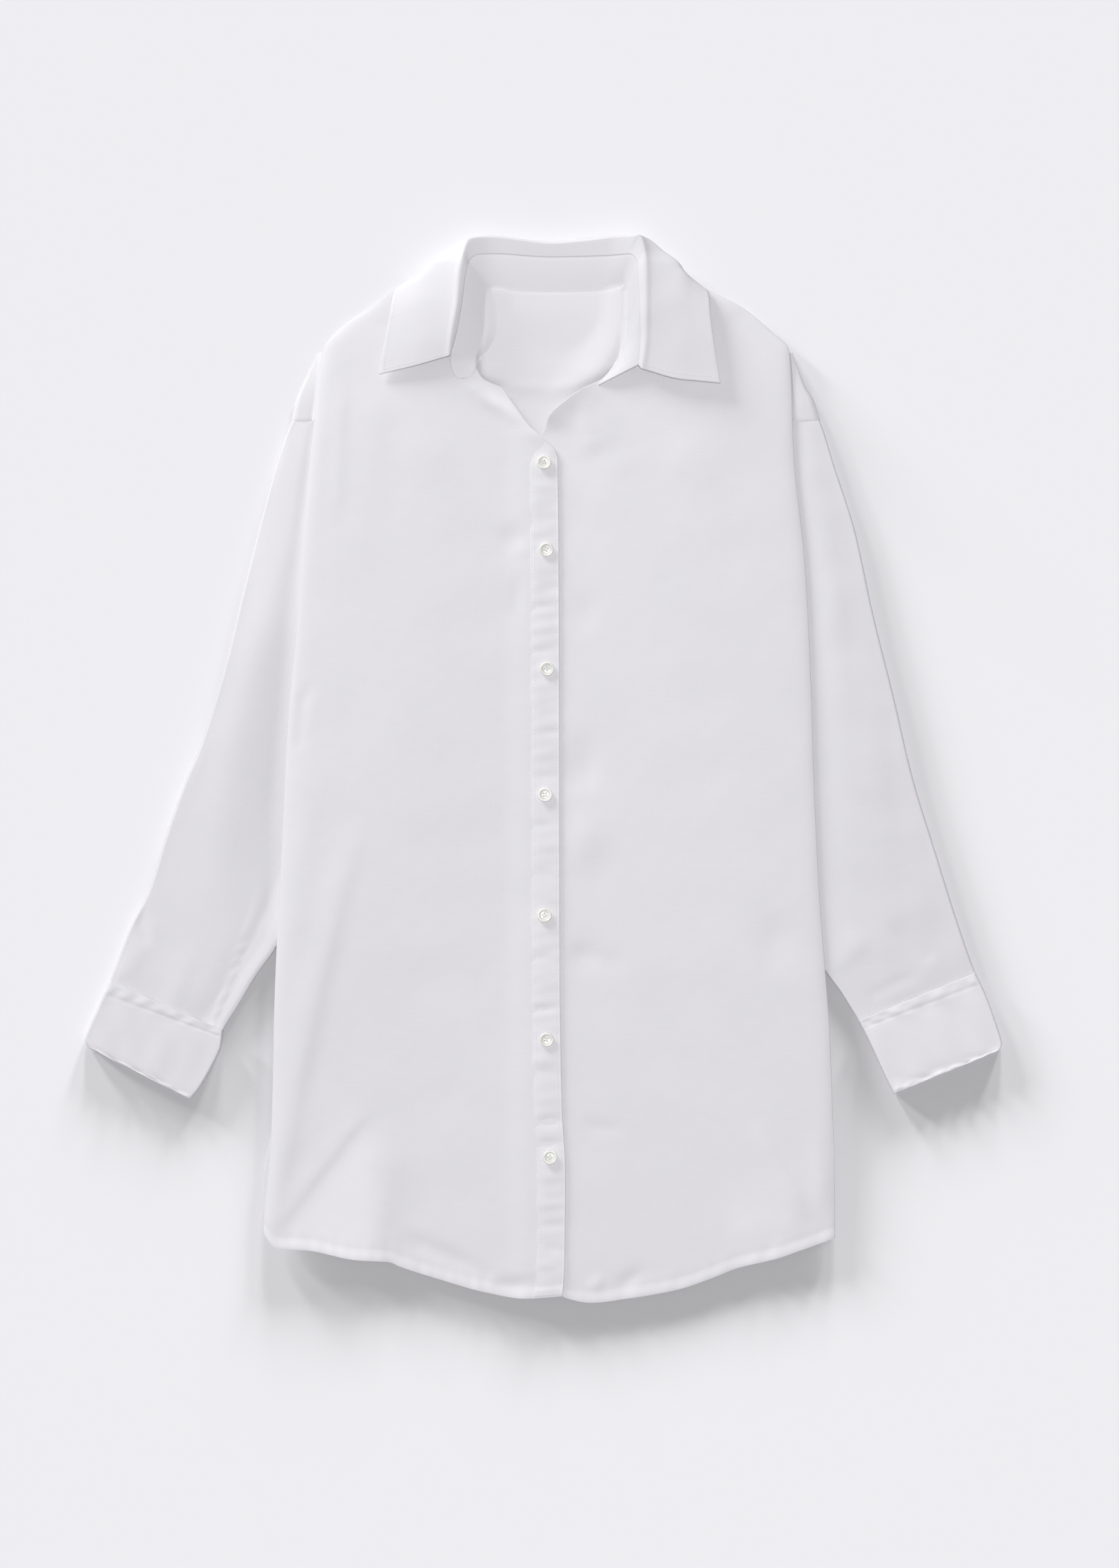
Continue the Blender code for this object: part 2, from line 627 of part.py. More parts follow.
# ---------------------------------------------------------------- sleeves and cuffs
def ring_point(outer, inner, turn, height_at):
    """A point of a flattened ring: flat below, crowned above, round at both edges."""
    angle = 2.0 * math.pi * turn
    across = 0.5 - 0.5 * math.cos(angle)
    upper = math.sin(angle) > 0.0
    edge = min(across, 1.0 - across)
    width = math.hypot(inner[0] - outer[0], inner[1] - outer[1])
    full = height_at(across)
    rounding = math.sqrt(min(1.0, edge * width / (EDGE_ROUNDNESS * full)))
    middle = 0.5 * full
    if upper:
        z = middle + (full - middle) * rounding
    else:
        z = middle - middle * rounding
    x = mix(outer[0], inner[0], across)
    y = mix(outer[1], inner[1], across)
    return (x, y, max(z, 0.0))


def sleeve(name, table, material):
    """A sleeve pressed flat: crowned where it shows, thin where the body lies on it."""
    keyed = [(k,) + row for k, row in enumerate(table)]
    around = 16
    rings = 18
    top = len(table) - 1

    def place(column, row):
        values = along(keyed, top * row / rings)
        shown = values[4]
        crown = values[5]

        def height_at(across):
            if across >= shown:
                return SLEEVE_TUCKED
            return SLEEVE_TUCKED + (crown - SLEEVE_TUCKED) * math.sin(math.pi * across / shown)

        return ring_point(values[0:2], values[2:4], column / around, height_at)

    return tube(name, around, rings, place, material, CLOTH)


def cuff(name, table, material):
    keyed = [(k,) + row for k, row in enumerate(table)]
    around = 12
    rings = 5
    top = len(table) - 1

    def place(column, row):
        values = along(keyed, top * row / rings)
        return ring_point(values[0:2], values[2:4], column / around, lambda across: values[4])

    return tube(name, around, rings, place, material, CUFF_WALL)


# ---------------------------------------------------------------- collar
def stand(material):
    """The collar stand: steep beside the neck, tilted back behind it."""
    rows = 3
    columns = 30

    def place(column, row):
        values = along(STAND, column / columns)
        share = row / rows
        bow = STAND_BOW * math.sin(math.pi * share)
        return tuple(mix(values[k], values[k + 3], share) + (bow if k == 2 else 0.0)
                     for k in range(3))

    return sheet("collar_stand", columns, rows, place, material, COLLAR_WALL, offset=0.0)


def turned_under(belly, edge):
    """The stop between belly and edge: on the way down in front, on the floor behind."""
    tucked = 1.0 - ramp((edge[2] - TURNED_LEVEL) / TURNED_EASE)
    share = mix(0.5, 0.3, tucked)
    drop = mix(0.5, 1.0, tucked)
    return (mix(belly[0], edge[0], share), mix(belly[1], edge[1], share),
            mix(belly[2], edge[2], drop))


def leaf(material):
    """The collar leaf: from the stand over its roll, down to the points in front, and
    round the shoulders to lie under the back of the neck."""
    rows = 10
    columns = 38

    def place(column, row):
        values = along(LEAF, column / columns)
        stops = [tuple(values[3 * k:3 * k + 3]) for k in range(4)]
        stops.insert(3, turned_under(stops[2], stops[3]))
        keyed = [(0.0,) + stops[0]]
        for k in range(1, len(stops)):
            keyed.append((keyed[-1][0] + math.dist(stops[k - 1], stops[k]),) + stops[k])
        share = (row / rows) ** LEAF_ROW_POWER
        return along(keyed, keyed[-1][0] * share)

    return sheet("collar_leaf", columns, rows, place, material, COLLAR_WALL, offset=0.0)


# ---------------------------------------------------------------- buttons
def button(number, x, y, material):
    """A turned button with a raised rim, seated on the band."""
    reach = BUTTON_RADIUS
    spots = [(x + reach * i, y + reach * j) for i in (-1, 0, 1) for j in (-1, 0, 1)]
    lift = CLOTH + BAND_WALL + 2.0 * SEAM_GAP
    seat = max(top_front_height(*spot) for spot in spots) + lift
    profile = bmesh.new()
    points = [profile.verts.new((reach * out, 0.0, BUTTON_HEIGHT * up))
              for out, up in BUTTON_PROFILE]
    for first, second in zip(points, points[1:]):
        profile.edges.new((first, second))
    mesh = bpy.data.meshes.new(f"button_{number}")
    profile.to_mesh(mesh)
    profile.free()
    mesh.materials.append(material)
    obj = bpy.data.objects.new(f"button_{number}", mesh)
    obj.location = (x, y, seat)
    SHIRT.objects.link(obj)
    screw = obj.modifiers.new("turn", "SCREW")
    screw.steps = BUTTON_TURNS
    screw.render_steps = BUTTON_TURNS
    screw.use_merge_vertices = True
    screw.merge_threshold = 0.00001
    screw.use_normal_calculate = True
    return obj


# ---------------------------------------------------------------- materials and assembly
def make_material(name, colour, roughness):
    material = bpy.data.materials.new(name)
    material.use_nodes = True
    shader = material.node_tree.nodes["Principled BSDF"]
    shader.inputs["Base Color"].default_value = colour
    shader.inputs["Roughness"].default_value = roughness
    shader.inputs["Metallic"].default_value = 0.0
    return material


def main():
    linen = make_material("linen", LINEN, 0.9)
    collar_linen = make_material("collar_linen", LINEN, 0.9)
    cuff_linen = make_material("cuff_linen", LINEN, 0.9)
    ivory = make_material("ivory", IVORY, 0.35)
    back(linen)
    front("front_left", LEFT_SIDE, LEFT_DROP, TOP_FRONT_EDGE, LEFT_HEM,
          top_front_height, 4, linen)
    front("front_right", RIGHT_SIDE, RIGHT_DROP, UNDER_FRONT_EDGE, RIGHT_HEM,
          front_height, 4, linen)
    button_band(linen)
    sleeve("sleeve_left", LEFT_SLEEVE, linen)
    sleeve("sleeve_right", RIGHT_SLEEVE, linen)
    cuff("cuff_left", LEFT_CUFF, cuff_linen)
    cuff("cuff_right", RIGHT_CUFF, cuff_linen)
    stand(collar_linen)
    leaf(collar_linen)
    for number, (x, y) in enumerate(BUTTONS, start=1):
        button(number, x, y, ivory)


for old in list(bpy.data.objects):
    bpy.data.objects.remove(old, do_unlink=True)
SHIRT = bpy.data.collections.new("linen_shirt")
bpy.context.scene.collection.children.link(SHIRT)
main()
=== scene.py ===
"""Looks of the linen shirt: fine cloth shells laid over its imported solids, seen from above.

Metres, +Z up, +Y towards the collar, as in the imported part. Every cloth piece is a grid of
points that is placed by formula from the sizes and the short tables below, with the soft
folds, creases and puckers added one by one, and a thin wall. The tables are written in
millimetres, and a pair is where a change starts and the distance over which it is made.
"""

import math

import bpy
import numpy as np
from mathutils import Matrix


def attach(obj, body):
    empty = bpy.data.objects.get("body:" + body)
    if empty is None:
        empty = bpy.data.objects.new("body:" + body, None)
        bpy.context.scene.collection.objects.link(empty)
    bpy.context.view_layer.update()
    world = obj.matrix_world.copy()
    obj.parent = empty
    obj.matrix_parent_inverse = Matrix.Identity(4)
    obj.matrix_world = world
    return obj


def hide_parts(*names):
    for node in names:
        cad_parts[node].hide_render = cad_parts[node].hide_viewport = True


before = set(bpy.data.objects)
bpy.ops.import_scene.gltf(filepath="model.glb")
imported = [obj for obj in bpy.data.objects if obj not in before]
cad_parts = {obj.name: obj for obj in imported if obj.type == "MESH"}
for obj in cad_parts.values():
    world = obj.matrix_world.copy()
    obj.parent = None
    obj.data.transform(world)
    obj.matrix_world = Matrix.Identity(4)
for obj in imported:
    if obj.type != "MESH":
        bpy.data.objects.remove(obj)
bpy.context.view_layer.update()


def metres(value, plain=()):
    """A table in metres from one in millimetres, apart from the plain columns of its rows."""
    return tuple(metres(v, plain) if isinstance(v, tuple) else v if k in plain else v / 1000.0
                 for k, v in enumerate(value))


# ---- sizes of the solids
CLOTH = 0.0012  # room for the wall of the body and the sleeves
SEAM_GAP = 0.0003
LOFT = 0.0022  # how far the fronts stand off the back
LOFT_AT_NECK = 0.35
LOFT_FADE = (0.37, 0.05)
NECK_LIFT = 0.003
NECK_MIDDLE = 0.01
SLEEVE_TUCKED = 0.004  # height of a sleeve where the body lies on it
SLEEVE_LIFT = 0.005
LIFT_REACH = (0.04, 0.03)  # the back rises from this far inside the sleeves' edges
LIFT_FADED = 0.72  # part of the lift that is lost towards the shoulders
LIFT_FADE = (0.3, 0.065)
BAND_WIDTH = 0.0246
HEM_LEVEL = -0.46
HEM_FADE = -0.25
SEAM_LEVEL = 0.302  # armhole seam on the dropped shoulder
TIP_LEVEL = 0.361  # upper end of the dropped shoulder
NECK_LEVEL = 0.4325
BACK_INSET = 0.0006
BACK_FADE = 0.26
BUTTON_RADIUS = 0.0063
BUTTON_HEIGHT = 0.003
OVERLAP_FULL = -0.01
OVERLAP_FADE = (0.3, -0.012)
BAND_CORNER = 0.2675
BAND_TOP = 0.29
LEFT_TIP = 0.3659  # the back's two sides end at these levels
RIGHT_TIP = 0.3629

# ---- sizes of the looks
SHELL = 0.0007  # wall of one layer of linen, also of the button band
COLLAR_SHELL = 0.001  # stand and leaf: two layers sewn together
CUFF_SHELL = 0.0011
CELL = 0.0029  # usual size of a grid cell
BACK_CELL = 0.0042
BAND_CELL = 0.0016
# body
HANG_REACH = (0.21, 0.2)  # as LIFT_REACH, for the fronts
HANG_FADE = (0.3, 0.12)
NECK_LIFT_FROM = (0.35, 0.054)
NECK_LIFT_SIDE = (0.205, -0.065)
NECK_RISE = 0.0048  # the back curves up to the stand ...
NECK_RISE_INSET = 0.007  # ... and is highest this far inside the fronts' edges
NECK_RISE_ENDS = (-0.056, 0.074)
NECK_RISE_REACH = (0.03, 0.022, 0.0065)  # inwards on the left and the right, outwards
NECK_RISE_FROM = (0.318, 0.03)
LAP_START = -0.036  # the top front starts to rise over the under front
EDGE_REACH = 0.0045  # roundness of the fronts' side edges
LEAST_LOFT = 0.0002
WAVES = 7  # crossed in each patch of unevenness
UNEVEN = ((0.00022, 0.085, 3), (0.00004, 0.024, 5))  # height, size and seed of waves
# hem: a band of two more layers, the groove above it and its small puckers
HEM_BAND = 0.0078
HEM_RISE = 0.0005
HEM_STEP = (-0.001, 0.0018)
GROOVE_DEPTH = 0.0003
GROOVE_INSET = 0.0018
GROOVE_REACH = 0.0022
HEM_PUCKER = 0.00045
HEM_PUCKER_SIZE = 0.015
HEM_PUCKER_SLANT = 0.35
HEM_PUCKER_REACH = 0.014
# how much lighter the cloth is: the hem, where it lies double; painted light on the lower corners
# that stand open; painted shade on the right shoulder
DENSER_AND_PAINTED_LIGHT = 1.12  # lightness where more of it lies together; the same mix carries painted light, and below 0 painted shade
HEM_LIGHT = 0.2
HEM_LIGHT_STEP = (-0.001, 0.002)
LEFT_PAINTED_LIGHT = 0.62
LEFT_LIGHT_POINT = (-0.2364, -0.4016)  # the line that ends it goes through this point ...
LEFT_LIGHT_RUN = (0.0864, 0.108)  # ... in this direction
LEFT_LIGHT_SOFT = 0.003
LEFT_LIGHT_X = (-0.128, -0.034)
LEFT_LIGHT_Y = (-0.29, -0.05)
RIGHT_PAINTED_LIGHT = 0.35
RIGHT_LIGHT_X = (0.15, 0.03)
RIGHT_LIGHT_END = (0.23, -0.02)
RIGHT_LIGHT_Y = (-0.37, -0.03)
# painted shade on the right dropped shoulder
RIGHT_DROP_PAINTED_SHADE = -0.35
# dropped shoulder
DROP_COLUMNS = 9
DROP_EDGE = 0.0004  # its height at the tip, outside ...
DROP_FOOT = 0.0012  # ... and at the fold
DROP_EASE = (0.361, -0.05)
DROP_TUCK = 0.001  # how far it goes under the fold
DROP_WIDTH = 0.083  # width of the sleeve under it
DROP_GAP = 0.0002
SEAM_SUNK = 0.0008  # the armhole seam's edge lies this deep in the sleeve
SEAM_SUNK_SPAN = 0.04
# columns of the fronts' grids, as distances from the side and from the free edge
NEAR_SIDE = (0.0, 0.0007, 0.0016, 0.0028, 0.0043, 0.0062, 0.0085, 0.011, 0.0138, 0.0168,
             0.02, 0.0232)
NEAR_EDGE = (0.02, 0.0172, 0.0144, 0.0117, 0.0092, 0.0069, 0.0049, 0.0032, 0.0018, 0.0008,
             0.0)
MIDDLE_COLUMNS = 75
NARROW = 0.17  # the columns move together where a front is narrower than this
BACK_COLUMNS = 121
BACK_CROWDED = 0.6  # how much closer together they are at the sides
# button band, by share of its width
BAND_SHARES = (0.0, 0.02, 0.05, 0.09, 0.13, 0.18, 0.25, 0.33, 0.42, 0.5, 0.58, 0.67, 0.75,
               0.82, 0.87, 0.91, 0.95, 0.98, 1.0)
BAND_START = -0.4588
BAND_GAP = 0.0002
BAND_TONE = 0.1
BAND_DIP = 0.0013  # its upper corner goes down to the edge of the neckline ...
BAND_DIP_FROM = (0.258, 0.022)
BAND_DIP_SLANT = 0.9
BAND_DIP_X = -0.0114
BAND_PUCKER_REACH = 0.45
BAND_UNEVEN = 0.00018
BAND_UNEVEN_SIZE = 0.012
BAND_UNEVEN_SQUEEZE = 0.4
BAND_RIM = 0.00025  # raised at the free edge ...
BAND_RIM_REACH = 0.05
BAND_SUNK = 0.0007  # ... and sunk at the sewn one
BAND_SUNK_REACH = 0.14
# sleeves
OUTER_SHARE = 0.7  # height of a sleeve at its outer edge, as a part of its crown
RING_ROUND = 0.15  # a sleeve's edge is round over this part of its height
SLEEVE_RINGS = 196
SLEEVE_AROUND = 92
SLEEVE_GRAIN = (0.23, 0.55)  # width and length of its cloth, for the weave
SLEEVE_UNEVEN = 0.0003
SLEEVE_UNEVEN_SIZE = 0.05
SHOWS_EASE = 0.12  # folds fade over this share of the width towards the body ...
EDGE_EASE = 0.06  # ... and over this one towards the edge
FREE_FROM = (0.85, 0.05)  # a sleeve that shows by this share has a free inner edge too
FREE_EDGE_EASE = 0.03
# painted shade: both sleeves a little darker than the body; painted light on the upper part of
# the left one
SLEEVE_PAINTED_SHADE = -0.28
UPPER_PAINTED_LIGHT = 0.3
UPPER_PAINTED_LIGHT_FROM = (0.06, 0.12)
STRIP_TONE = 0.45  # the strip along the seam of the left sleeve
STRIP_WIDTH = (0.019, 0.002)
STRIP_FROM = (0.6, 0.2)
# cuffs: puckered bands at the seam and at the end, a groove under the first
CUFF_RINGS = 54
CUFF_AROUND = 110
CUFF_LENGTH = 0.064
CUFF_WIDTH = 0.108
CUFF_GRAIN = 0.22
SEAM_BAND = 0.0062
END_BAND = 0.061
BAND_REACH = 0.0052
BAND_RAISED = (0.0004, 0.0005)
QUILT = 0.0007
QUILT_WAVES = (0.02, 0.4, 0.3)  # size, slant, squeeze
QUILT_FOLDS = (0.45, 0.017, 0.3)  # part, length, slant
QUILT_SWAY = (2.4, 0.05)
END_PUCKER = (0.0011, 0.015)
CUFF_UNEVEN = (0.00045, 0.028)
CUFF_GROOVE = (0.0004, 0.0112, 0.0016)
CUFF_EDGE_EASE = 0.05
END_TONE = 0.25
SEAM_TONE = 0.15
# collar
STAND_STATIONS = 230
STAND_ROWS = 31
STAND_TURN = 0.26  # share of its rows that lie on the back
STAND_PAST = 1.02  # the wall goes this far into the leaf ...
STAND_TOP_DROP = 0.0002  # ... and bends down there
STAND_TOP_FROM = (0.92, 0.08)
STAND_BOW = 0.0004
STAND_SEWN = (0.045, 0.03)
FOOT_SUNK = 0.0012  # the stand's inner edge lies this deep in the back
FOOT_LAID = 0.005
LEAF_STATIONS = 330
LEAF_ROWS = 42
LEAF_ROW_POWER = 1.1
# painted shade on the right part of the leaf, which slopes away from the light
LEAF_PAINTED_SHADE = -0.3
LEAF_PAINTED_SHADE_FROM = (0.62, 0.08)
COLLAR_GRAIN = (0.37, 0.034, 0.48, 0.085)  # stand and leaf: length and width of the cloth
PAST_ROLL = 0.14  # part of the way from roll to belly where the leaf is straight again
ROLL_DROP = 0.0008  # how much lower the leaf is there than a straight line
TUCKED_FROM = (0.002, 0.009)
TURNED = ((0.5, 0.3), (0.5, 1.0))  # parts of the way and of the drop, open and tucked
# buttons and sewing
BUTTON_AROUND = 48
WELDED = 0.00001
HOLES = 4
HOLE_AROUND = 16
HOLE_RADIUS = 0.00062
HOLE_PLACE = 0.0015
BUTTON_GAP = 0.0005
THREAD_HALF = 0.00106  # half the length of a run of thread, and its place beside the middle
STRAND = 0.00018
THREAD_LEVEL = 0.74
THREAD_HALF_WIDTH = 0.0002
STITCH_PITCH = 0.0031
STITCH_LENGTH = 0.0024
STITCH_HALF_WIDTH = 0.00022
STITCH_HEIGHT = 0.00022
STITCH_FULL = 0.28  # a stitch is at its full width and height this far from its middle
LEAF_GRID = (320, 60)  # stations and rows of the grid that its stitches follow ...
LEAF_EDGE_ROW = 56  # ... the row along its edge ...
LEAF_ENDS = ((0, 80, 4), (235, 320, -5))  # ... and first, last and end column of each side
BAND_GRID = (-0.4585, 0.288, 0.002, 25)  # levels from, to and apart, and columns
BAND_STITCHED = (3, 21)

# ---- colours and lights
LINEN = (0.784, 0.766, 0.804)
LINEN_LOW = (0.974, 0.98, 0.97)  # mottling, as parts of the linen's colour
LINEN_HIGH = (1.018, 1.012, 1.022)
FLOOR_COLOUR = (0.5345, 0.5296, 0.5473)
FLOOR_HALF = 6.0
FLOOR_LEVEL = -0.0003
FILL = 0.23  # light from all round ...
FRONT = 0.55  # ... and from straight above
FRONT_SOFT = 4.0
FLOOR = 0.83  # a long low window, as a row of suns from these turns
FLOOR_TURNS = (-20.0, -2.0, 32.0, 52.0)
FLOOR_ELEVATION = 6.3
FLOOR_SOFT = 8.0
NEAR = 0.19  # a near lamp whose light falls off to the lower right
NEAR_ELEVATION = 17.0
NEAR_TURN = 36.0
NEAR_AWAY = 4.5
NEAR_SIZE = 2.0
NEAR_COLOUR = (0.975, 1.0, 0.975)
CAMERA_AT = (0.0144, -0.0142, 12.0)
VIEW_HEIGHT = 1.365  # of the floor, from the frame's lower edge to its upper
SENSOR = 36.0

# row: level y, edge x. Side seam, then the fold at the armhole, then the shoulder.
LEFT_SIDE = metres((
    (-466, -243.5), (-399.7, -242.4), (-327.7, -236.4), (-201.7, -233.4), (-157.9, -231.6),
    (-76.3, -227.4), (49.1, -220.8), (112.1, -214.8), (205.7, -208.2), (299.9, -198.9),
    (365.9, -189.6), (385.1, -172.8), (400.7, -149.4), (417.5, -126.6), (427, -100.8),
    (434.5, -70),
))
RIGHT_SIDE = metres((
    (-466, 253.8), (-373.9, 253.8), (-327.7, 252.6), (-233.5, 249.6), (-176.5, 245.4),
    (-107.5, 240.3), (-13.9, 235.8), (80.3, 232.8), (174.5, 228), (268.7, 218.4), (362.9, 214),
    (378.5, 199.2), (398.9, 175.2), (415.7, 142.8), (427, 118.2), (434.5, 97.2),
))
# row: level y, edge x of the dropped shoulder
LEFT_DROP = metres((
    (302, -218.4), (319.1, -214.8), (340.7, -205.2), (365.9, -192.5),
))
RIGHT_DROP = metres((
    (302, 241.2), (319.7, 235.2), (331.7, 228), (362.9, 216.6),
))
# row: level y, edge x of the top front: placket edge, then the open neckline
TOP_FRONT_EDGE = metres((
    (-466, 16.8), (-431, 19.2), (-352.3, 19.8), (-291.7, 16.8), (-171.7, 15), (122, 14.4),
    (267.5, 13.2), (277, 10.4), (286.7, 0.2), (298.7, -12.8), (309.5, -20.6), (319.7, -28),
    (332, -37.2), (336.5, -50), (350, -58), (380, -54.5), (434.5, -55),
))
# row: level y, edge x of the under front: its hidden edge, then the open neckline
UNDER_FRONT_EDGE = metres((
    (-466, -6.6), (274, -6.6), (284, -6), (295, 1.6), (306.5, 5.4), (319.7, 19.2), (331.7, 37.2),
    (338, 51), (350, 61), (365, 69), (380, 73.5), (434.5, 79),
))
# row: place x, hem level y
LEFT_HEM = metres((
    (-243.5, -405.7), (-232.2, -418.3), (-205.2, -420.1), (-163.2, -428.5), (-133.8, -430.3),
    (-125.4, -433.9), (-90, -445.3), (-49.8, -456.7), (-16.2, -462.1), (20, -459.7),
))
RIGHT_HEM = metres((
    (-10, -456), (15, -459), (19.8, -461.5), (41.4, -465.7), (73.2, -462.1), (117, -454.3),
    (145.8, -444.7), (168.6, -435.7), (203.4, -427.3), (222.6, -420.7), (254, -409.5),
))
BACK_HEM = metres((
    (-243.5, -400), (-200, -414), (-120, -429), (0, -454), (120, -449), (200, -423), (254, -404),
))
# row: place x, top level y of the back
BACK_TOP = metres((
    (-189.6, 365.9), (-172.8, 385.1), (-149.4, 400.7), (-126.6, 417.5), (-100.8, 427), (-64, 433),
    (-54, 425), (-42, 416), (10, 414), (60, 416), (74, 425), (84, 434), (118.2, 427),
    (142.8, 415.7), (175.2, 398.9), (199.2, 378.5), (214, 362.9),
))

# row: reach on the left of the line as it is walked, reach on its right, then x, y and
# height at each of its points; a height below 0 makes a trough
FRONT_FOLDS = metres((
    # lower left corner: folds that fan out of the end of the side seam
    (16, 10, (-244, -410, 0), (-238, -390, 1), (-225, -330, 1.6), (-210, -250, 2),
     (-192, -170, 1.9), (-178, -110, 1.4), (-156, -40, 0)),
    (12, 5, (-238, -408, 0), (-222, -386, 0.7), (-196, -352, 1), (-170, -318, 0.9),
     (-148, -292, 0)),
    (34, 18, (-154, -430, 2.6), (-145, -390, 2.4), (-138, -350, 1.6), (-134, -290, 0)),
    (12, 16, (-228, -190, 0), (-214, -120, 1), (-206, -40, 1), (-208, 20, 0)),
    # armhole fold and the soft lines beside it
    (12, 10, (-178, 368, 0), (-185, 340, 0.3), (-192, 300, 0.4), (-197.5, 250, 0.4),
     (-202, 200, 0.3), (-205, 160, 0)),
    (7, 7, (-175, 350, 0), (-177, 300, 0.7), (-179, 240, 0.6), (-186, 200, 0)),
    (16, 20, (-144, 340, 0), (-150, 280, 0.7), (-156, 220, 0.6), (-160, 170, 0)),
    (5, 7, (-201, 80, 0), (-209, 56, -1.2), (-212, 24, -0.8), (-212, 10, 0)),
    # right front: beside the placket, at the side and in the lower corner
    (10, 14, (33, 270, 0), (33, 226, -0.4), (30, 190, 0)),
    (12, 16, (40, 160, 0), (36, 134, -1), (34, 106, 0)),
    (12, 20, (36, 40, 0), (37, -2, -2), (34, -30, 0)),
    (16, 14, (34, -30, 0), (37, -62, 1.8), (34, -100, 0)),
    (11, 12, (20, -152, 0), (36, -164, -1.8), (56, -169, -1), (80, -172, 0)),
    (6, 8, (30, -306, 0), (48, -313, -0.9), (78, -316, 0)),
    (16, 14, (201, -120, 0), (202, -150, -1.5), (204, -190, 0)),
    (6, 10, (180, -300, 0), (198, -334, 1.2), (218, -370, 1.1), (234, -396, 0)),
    (36, 18, (145, -418, 0), (180, -400, 1.4), (214, -392, 1.2), (238, -396, 0)),
    (9, 8, (238, -300, 0), (242, -360, 1.3), (244, -406, 0)),
    (20, 30, (90, 230, 0), (130, 270, 1), (170, 320, 0)),
    (18, 12, (40, 268, 0), (70, 266, 0.6), (110, 274, 0)),
    # left front beside the band
    (12, 10, (-34, 214, 0), (-24, 200, -1.3), (-16, 188, 0)),
    (8, 6, (-22, 176, 0), (-22.5, 150, -0.9), (-23, 120, 0)),
    (24, 20, (-86, 300, 0), (-104, 276, 0.9), (-130, 250, 0)),
    # lower middle
    (14, 18, (-116, -286, 0), (-80, -286, -0.6), (-46, -274, 0)),
    (8, 10, (-128, -406, 0), (-104, -416, -1.8), (-76, -428, -2), (-50, -442, -1.2),
     (-40, -446, 0)),
    (6, 8, (-46, -448, 0), (-26, -450, -2.2), (-6, -448, -1), (2, -446, 0)),
    (5, 5, (38, -456, 0), (46, -450, 1.4), (54, -438, 0)),
    (6, 7, (56, -456, 0), (74, -446, -1.6), (96, -434, 0)),
))
# the open neckline: raised edges that fall away outwards, as in FRONT_FOLDS
TOP_NECK_FOLDS = metres((
    (7, 7, (-64, 340, 0), (-60, 331, 2), (-49, 321, 2.6), (-31.8, 313, 2.4), (-16.8, 300, 2),
     (-1.8, 288, 1.6), (8.4, 278, 0.8), (13, 269, 0)),
))
UNDER_NECK_FOLDS = metres((
    (17.5, 17.5, (59, 347, 0), (45, 339.5, 2.6), (30, 335.5, 5.6), (14.2, 324.5, 6.6),
     (1.2, 311.5, 6), (-5, 297, 0.8), (-4.5, 286, 0)),
    (28, 11, (56, 334, 0), (47, 323, 1.2), (41, 311, 1.7), (39, 300, 1.9), (41, 286, 1.6),
     (46, 268, 0)),
))
# painted light on the lip of the top front's neckline, which catches the light: its height here
# is how much lighter it is painted
LIP_PAINTED_LIGHT = metres((
    (6, 6, (-52, 333, 0.3), (-42, 320, 0.8), (-30, 313, 0.8), (-20, 304, 0.4), (-10, 295, 0)),
), plain=(2,))

# row: outer x, y, inner x, y, part of the width that shows beside the body, crown height,
# place of the crest in the part that shows
LEFT_SLEEVE = metres((
    (-207, 315, -136.8, 299.3, 0.23, 4.4, 0.6),
    (-214.2, 306.2, -136.8, 289.3, 0.23, 4.6, 0.6),
    (-218.6, 300.6, -136.8, 283.7, 0.23, 4.9, 0.6),
    (-230.4, 268.7, -136.8, 233.3, 0.27, 5.2, 0.7),
    (-246, 212.3, -141.6, 170.3, 0.31, 5.6, 0.7),
    (-260.4, 155.9, -150, 110.3, 0.36, 6.8, 0.54),
    (-277.2, 86.9, -160.8, 44.3, 0.43, 9.2, 0.42),
    (-296.4, 23.9, -176.4, -12.7, 0.53, 10.2, 0.42),
    (-312, -13.9, -192, -54.7, 0.63, 10, 0.44),
    (-327.6, -57.7, -210, -99.7, 0.77, 9, 0.5),
    (-343.2, -107.5, -231.6, -154.9, 0.9, 8, 0.66),
    (-358.8, -138.1, -249.6, -180.7, 0.9, 7.4, 0.72),
    (-367.8, -161.5, -265.8, -207.7, 0.9, 7.2, 0.74),
    (-377.1, -185.3, -278.4, -228.1, 0.9, 6.2, 0.7),
    (-378.5, -188.5, -279, -231.2, 0.9, 4.4, 0.6),
), plain=(4, 6))
RIGHT_SLEEVE = metres((
    (231, 315, 163.2, 299.3, 0.23, 4.4, 0.5),
    (236.8, 306.2, 163.2, 289.3, 0.23, 4.6, 0.5),
    (241.4, 300.6, 163.2, 283.7, 0.23, 5.2, 0.5),
    (254.4, 260.3, 158.4, 227.3, 0.31, 5.6, 0.54),
    (271.8, 205.7, 163.2, 164.3, 0.36, 6.2, 0.58),
    (286.8, 136.7, 171.6, 98.3, 0.42, 6.6, 0.6),
    (306, 59.3, 189, 20.3, 0.52, 7, 0.6),
    (321.6, -7.3, 204, -45.7, 0.63, 7.2, 0.6),
    (340.8, -70.3, 223.2, -111.7, 0.77, 7.2, 0.58),
    (359.4, -129.7, 241.2, -168.7, 0.92, 7.2, 0.56),
    (368.4, -156.7, 260.4, -196.9, 1, 7, 0.54),
    (376.2, -177.8, 274.4, -219.8, 1, 6, 0.52),
    (377.6, -181, 275.8, -223, 1, 4.4, 0.52),
), plain=(4, 6))
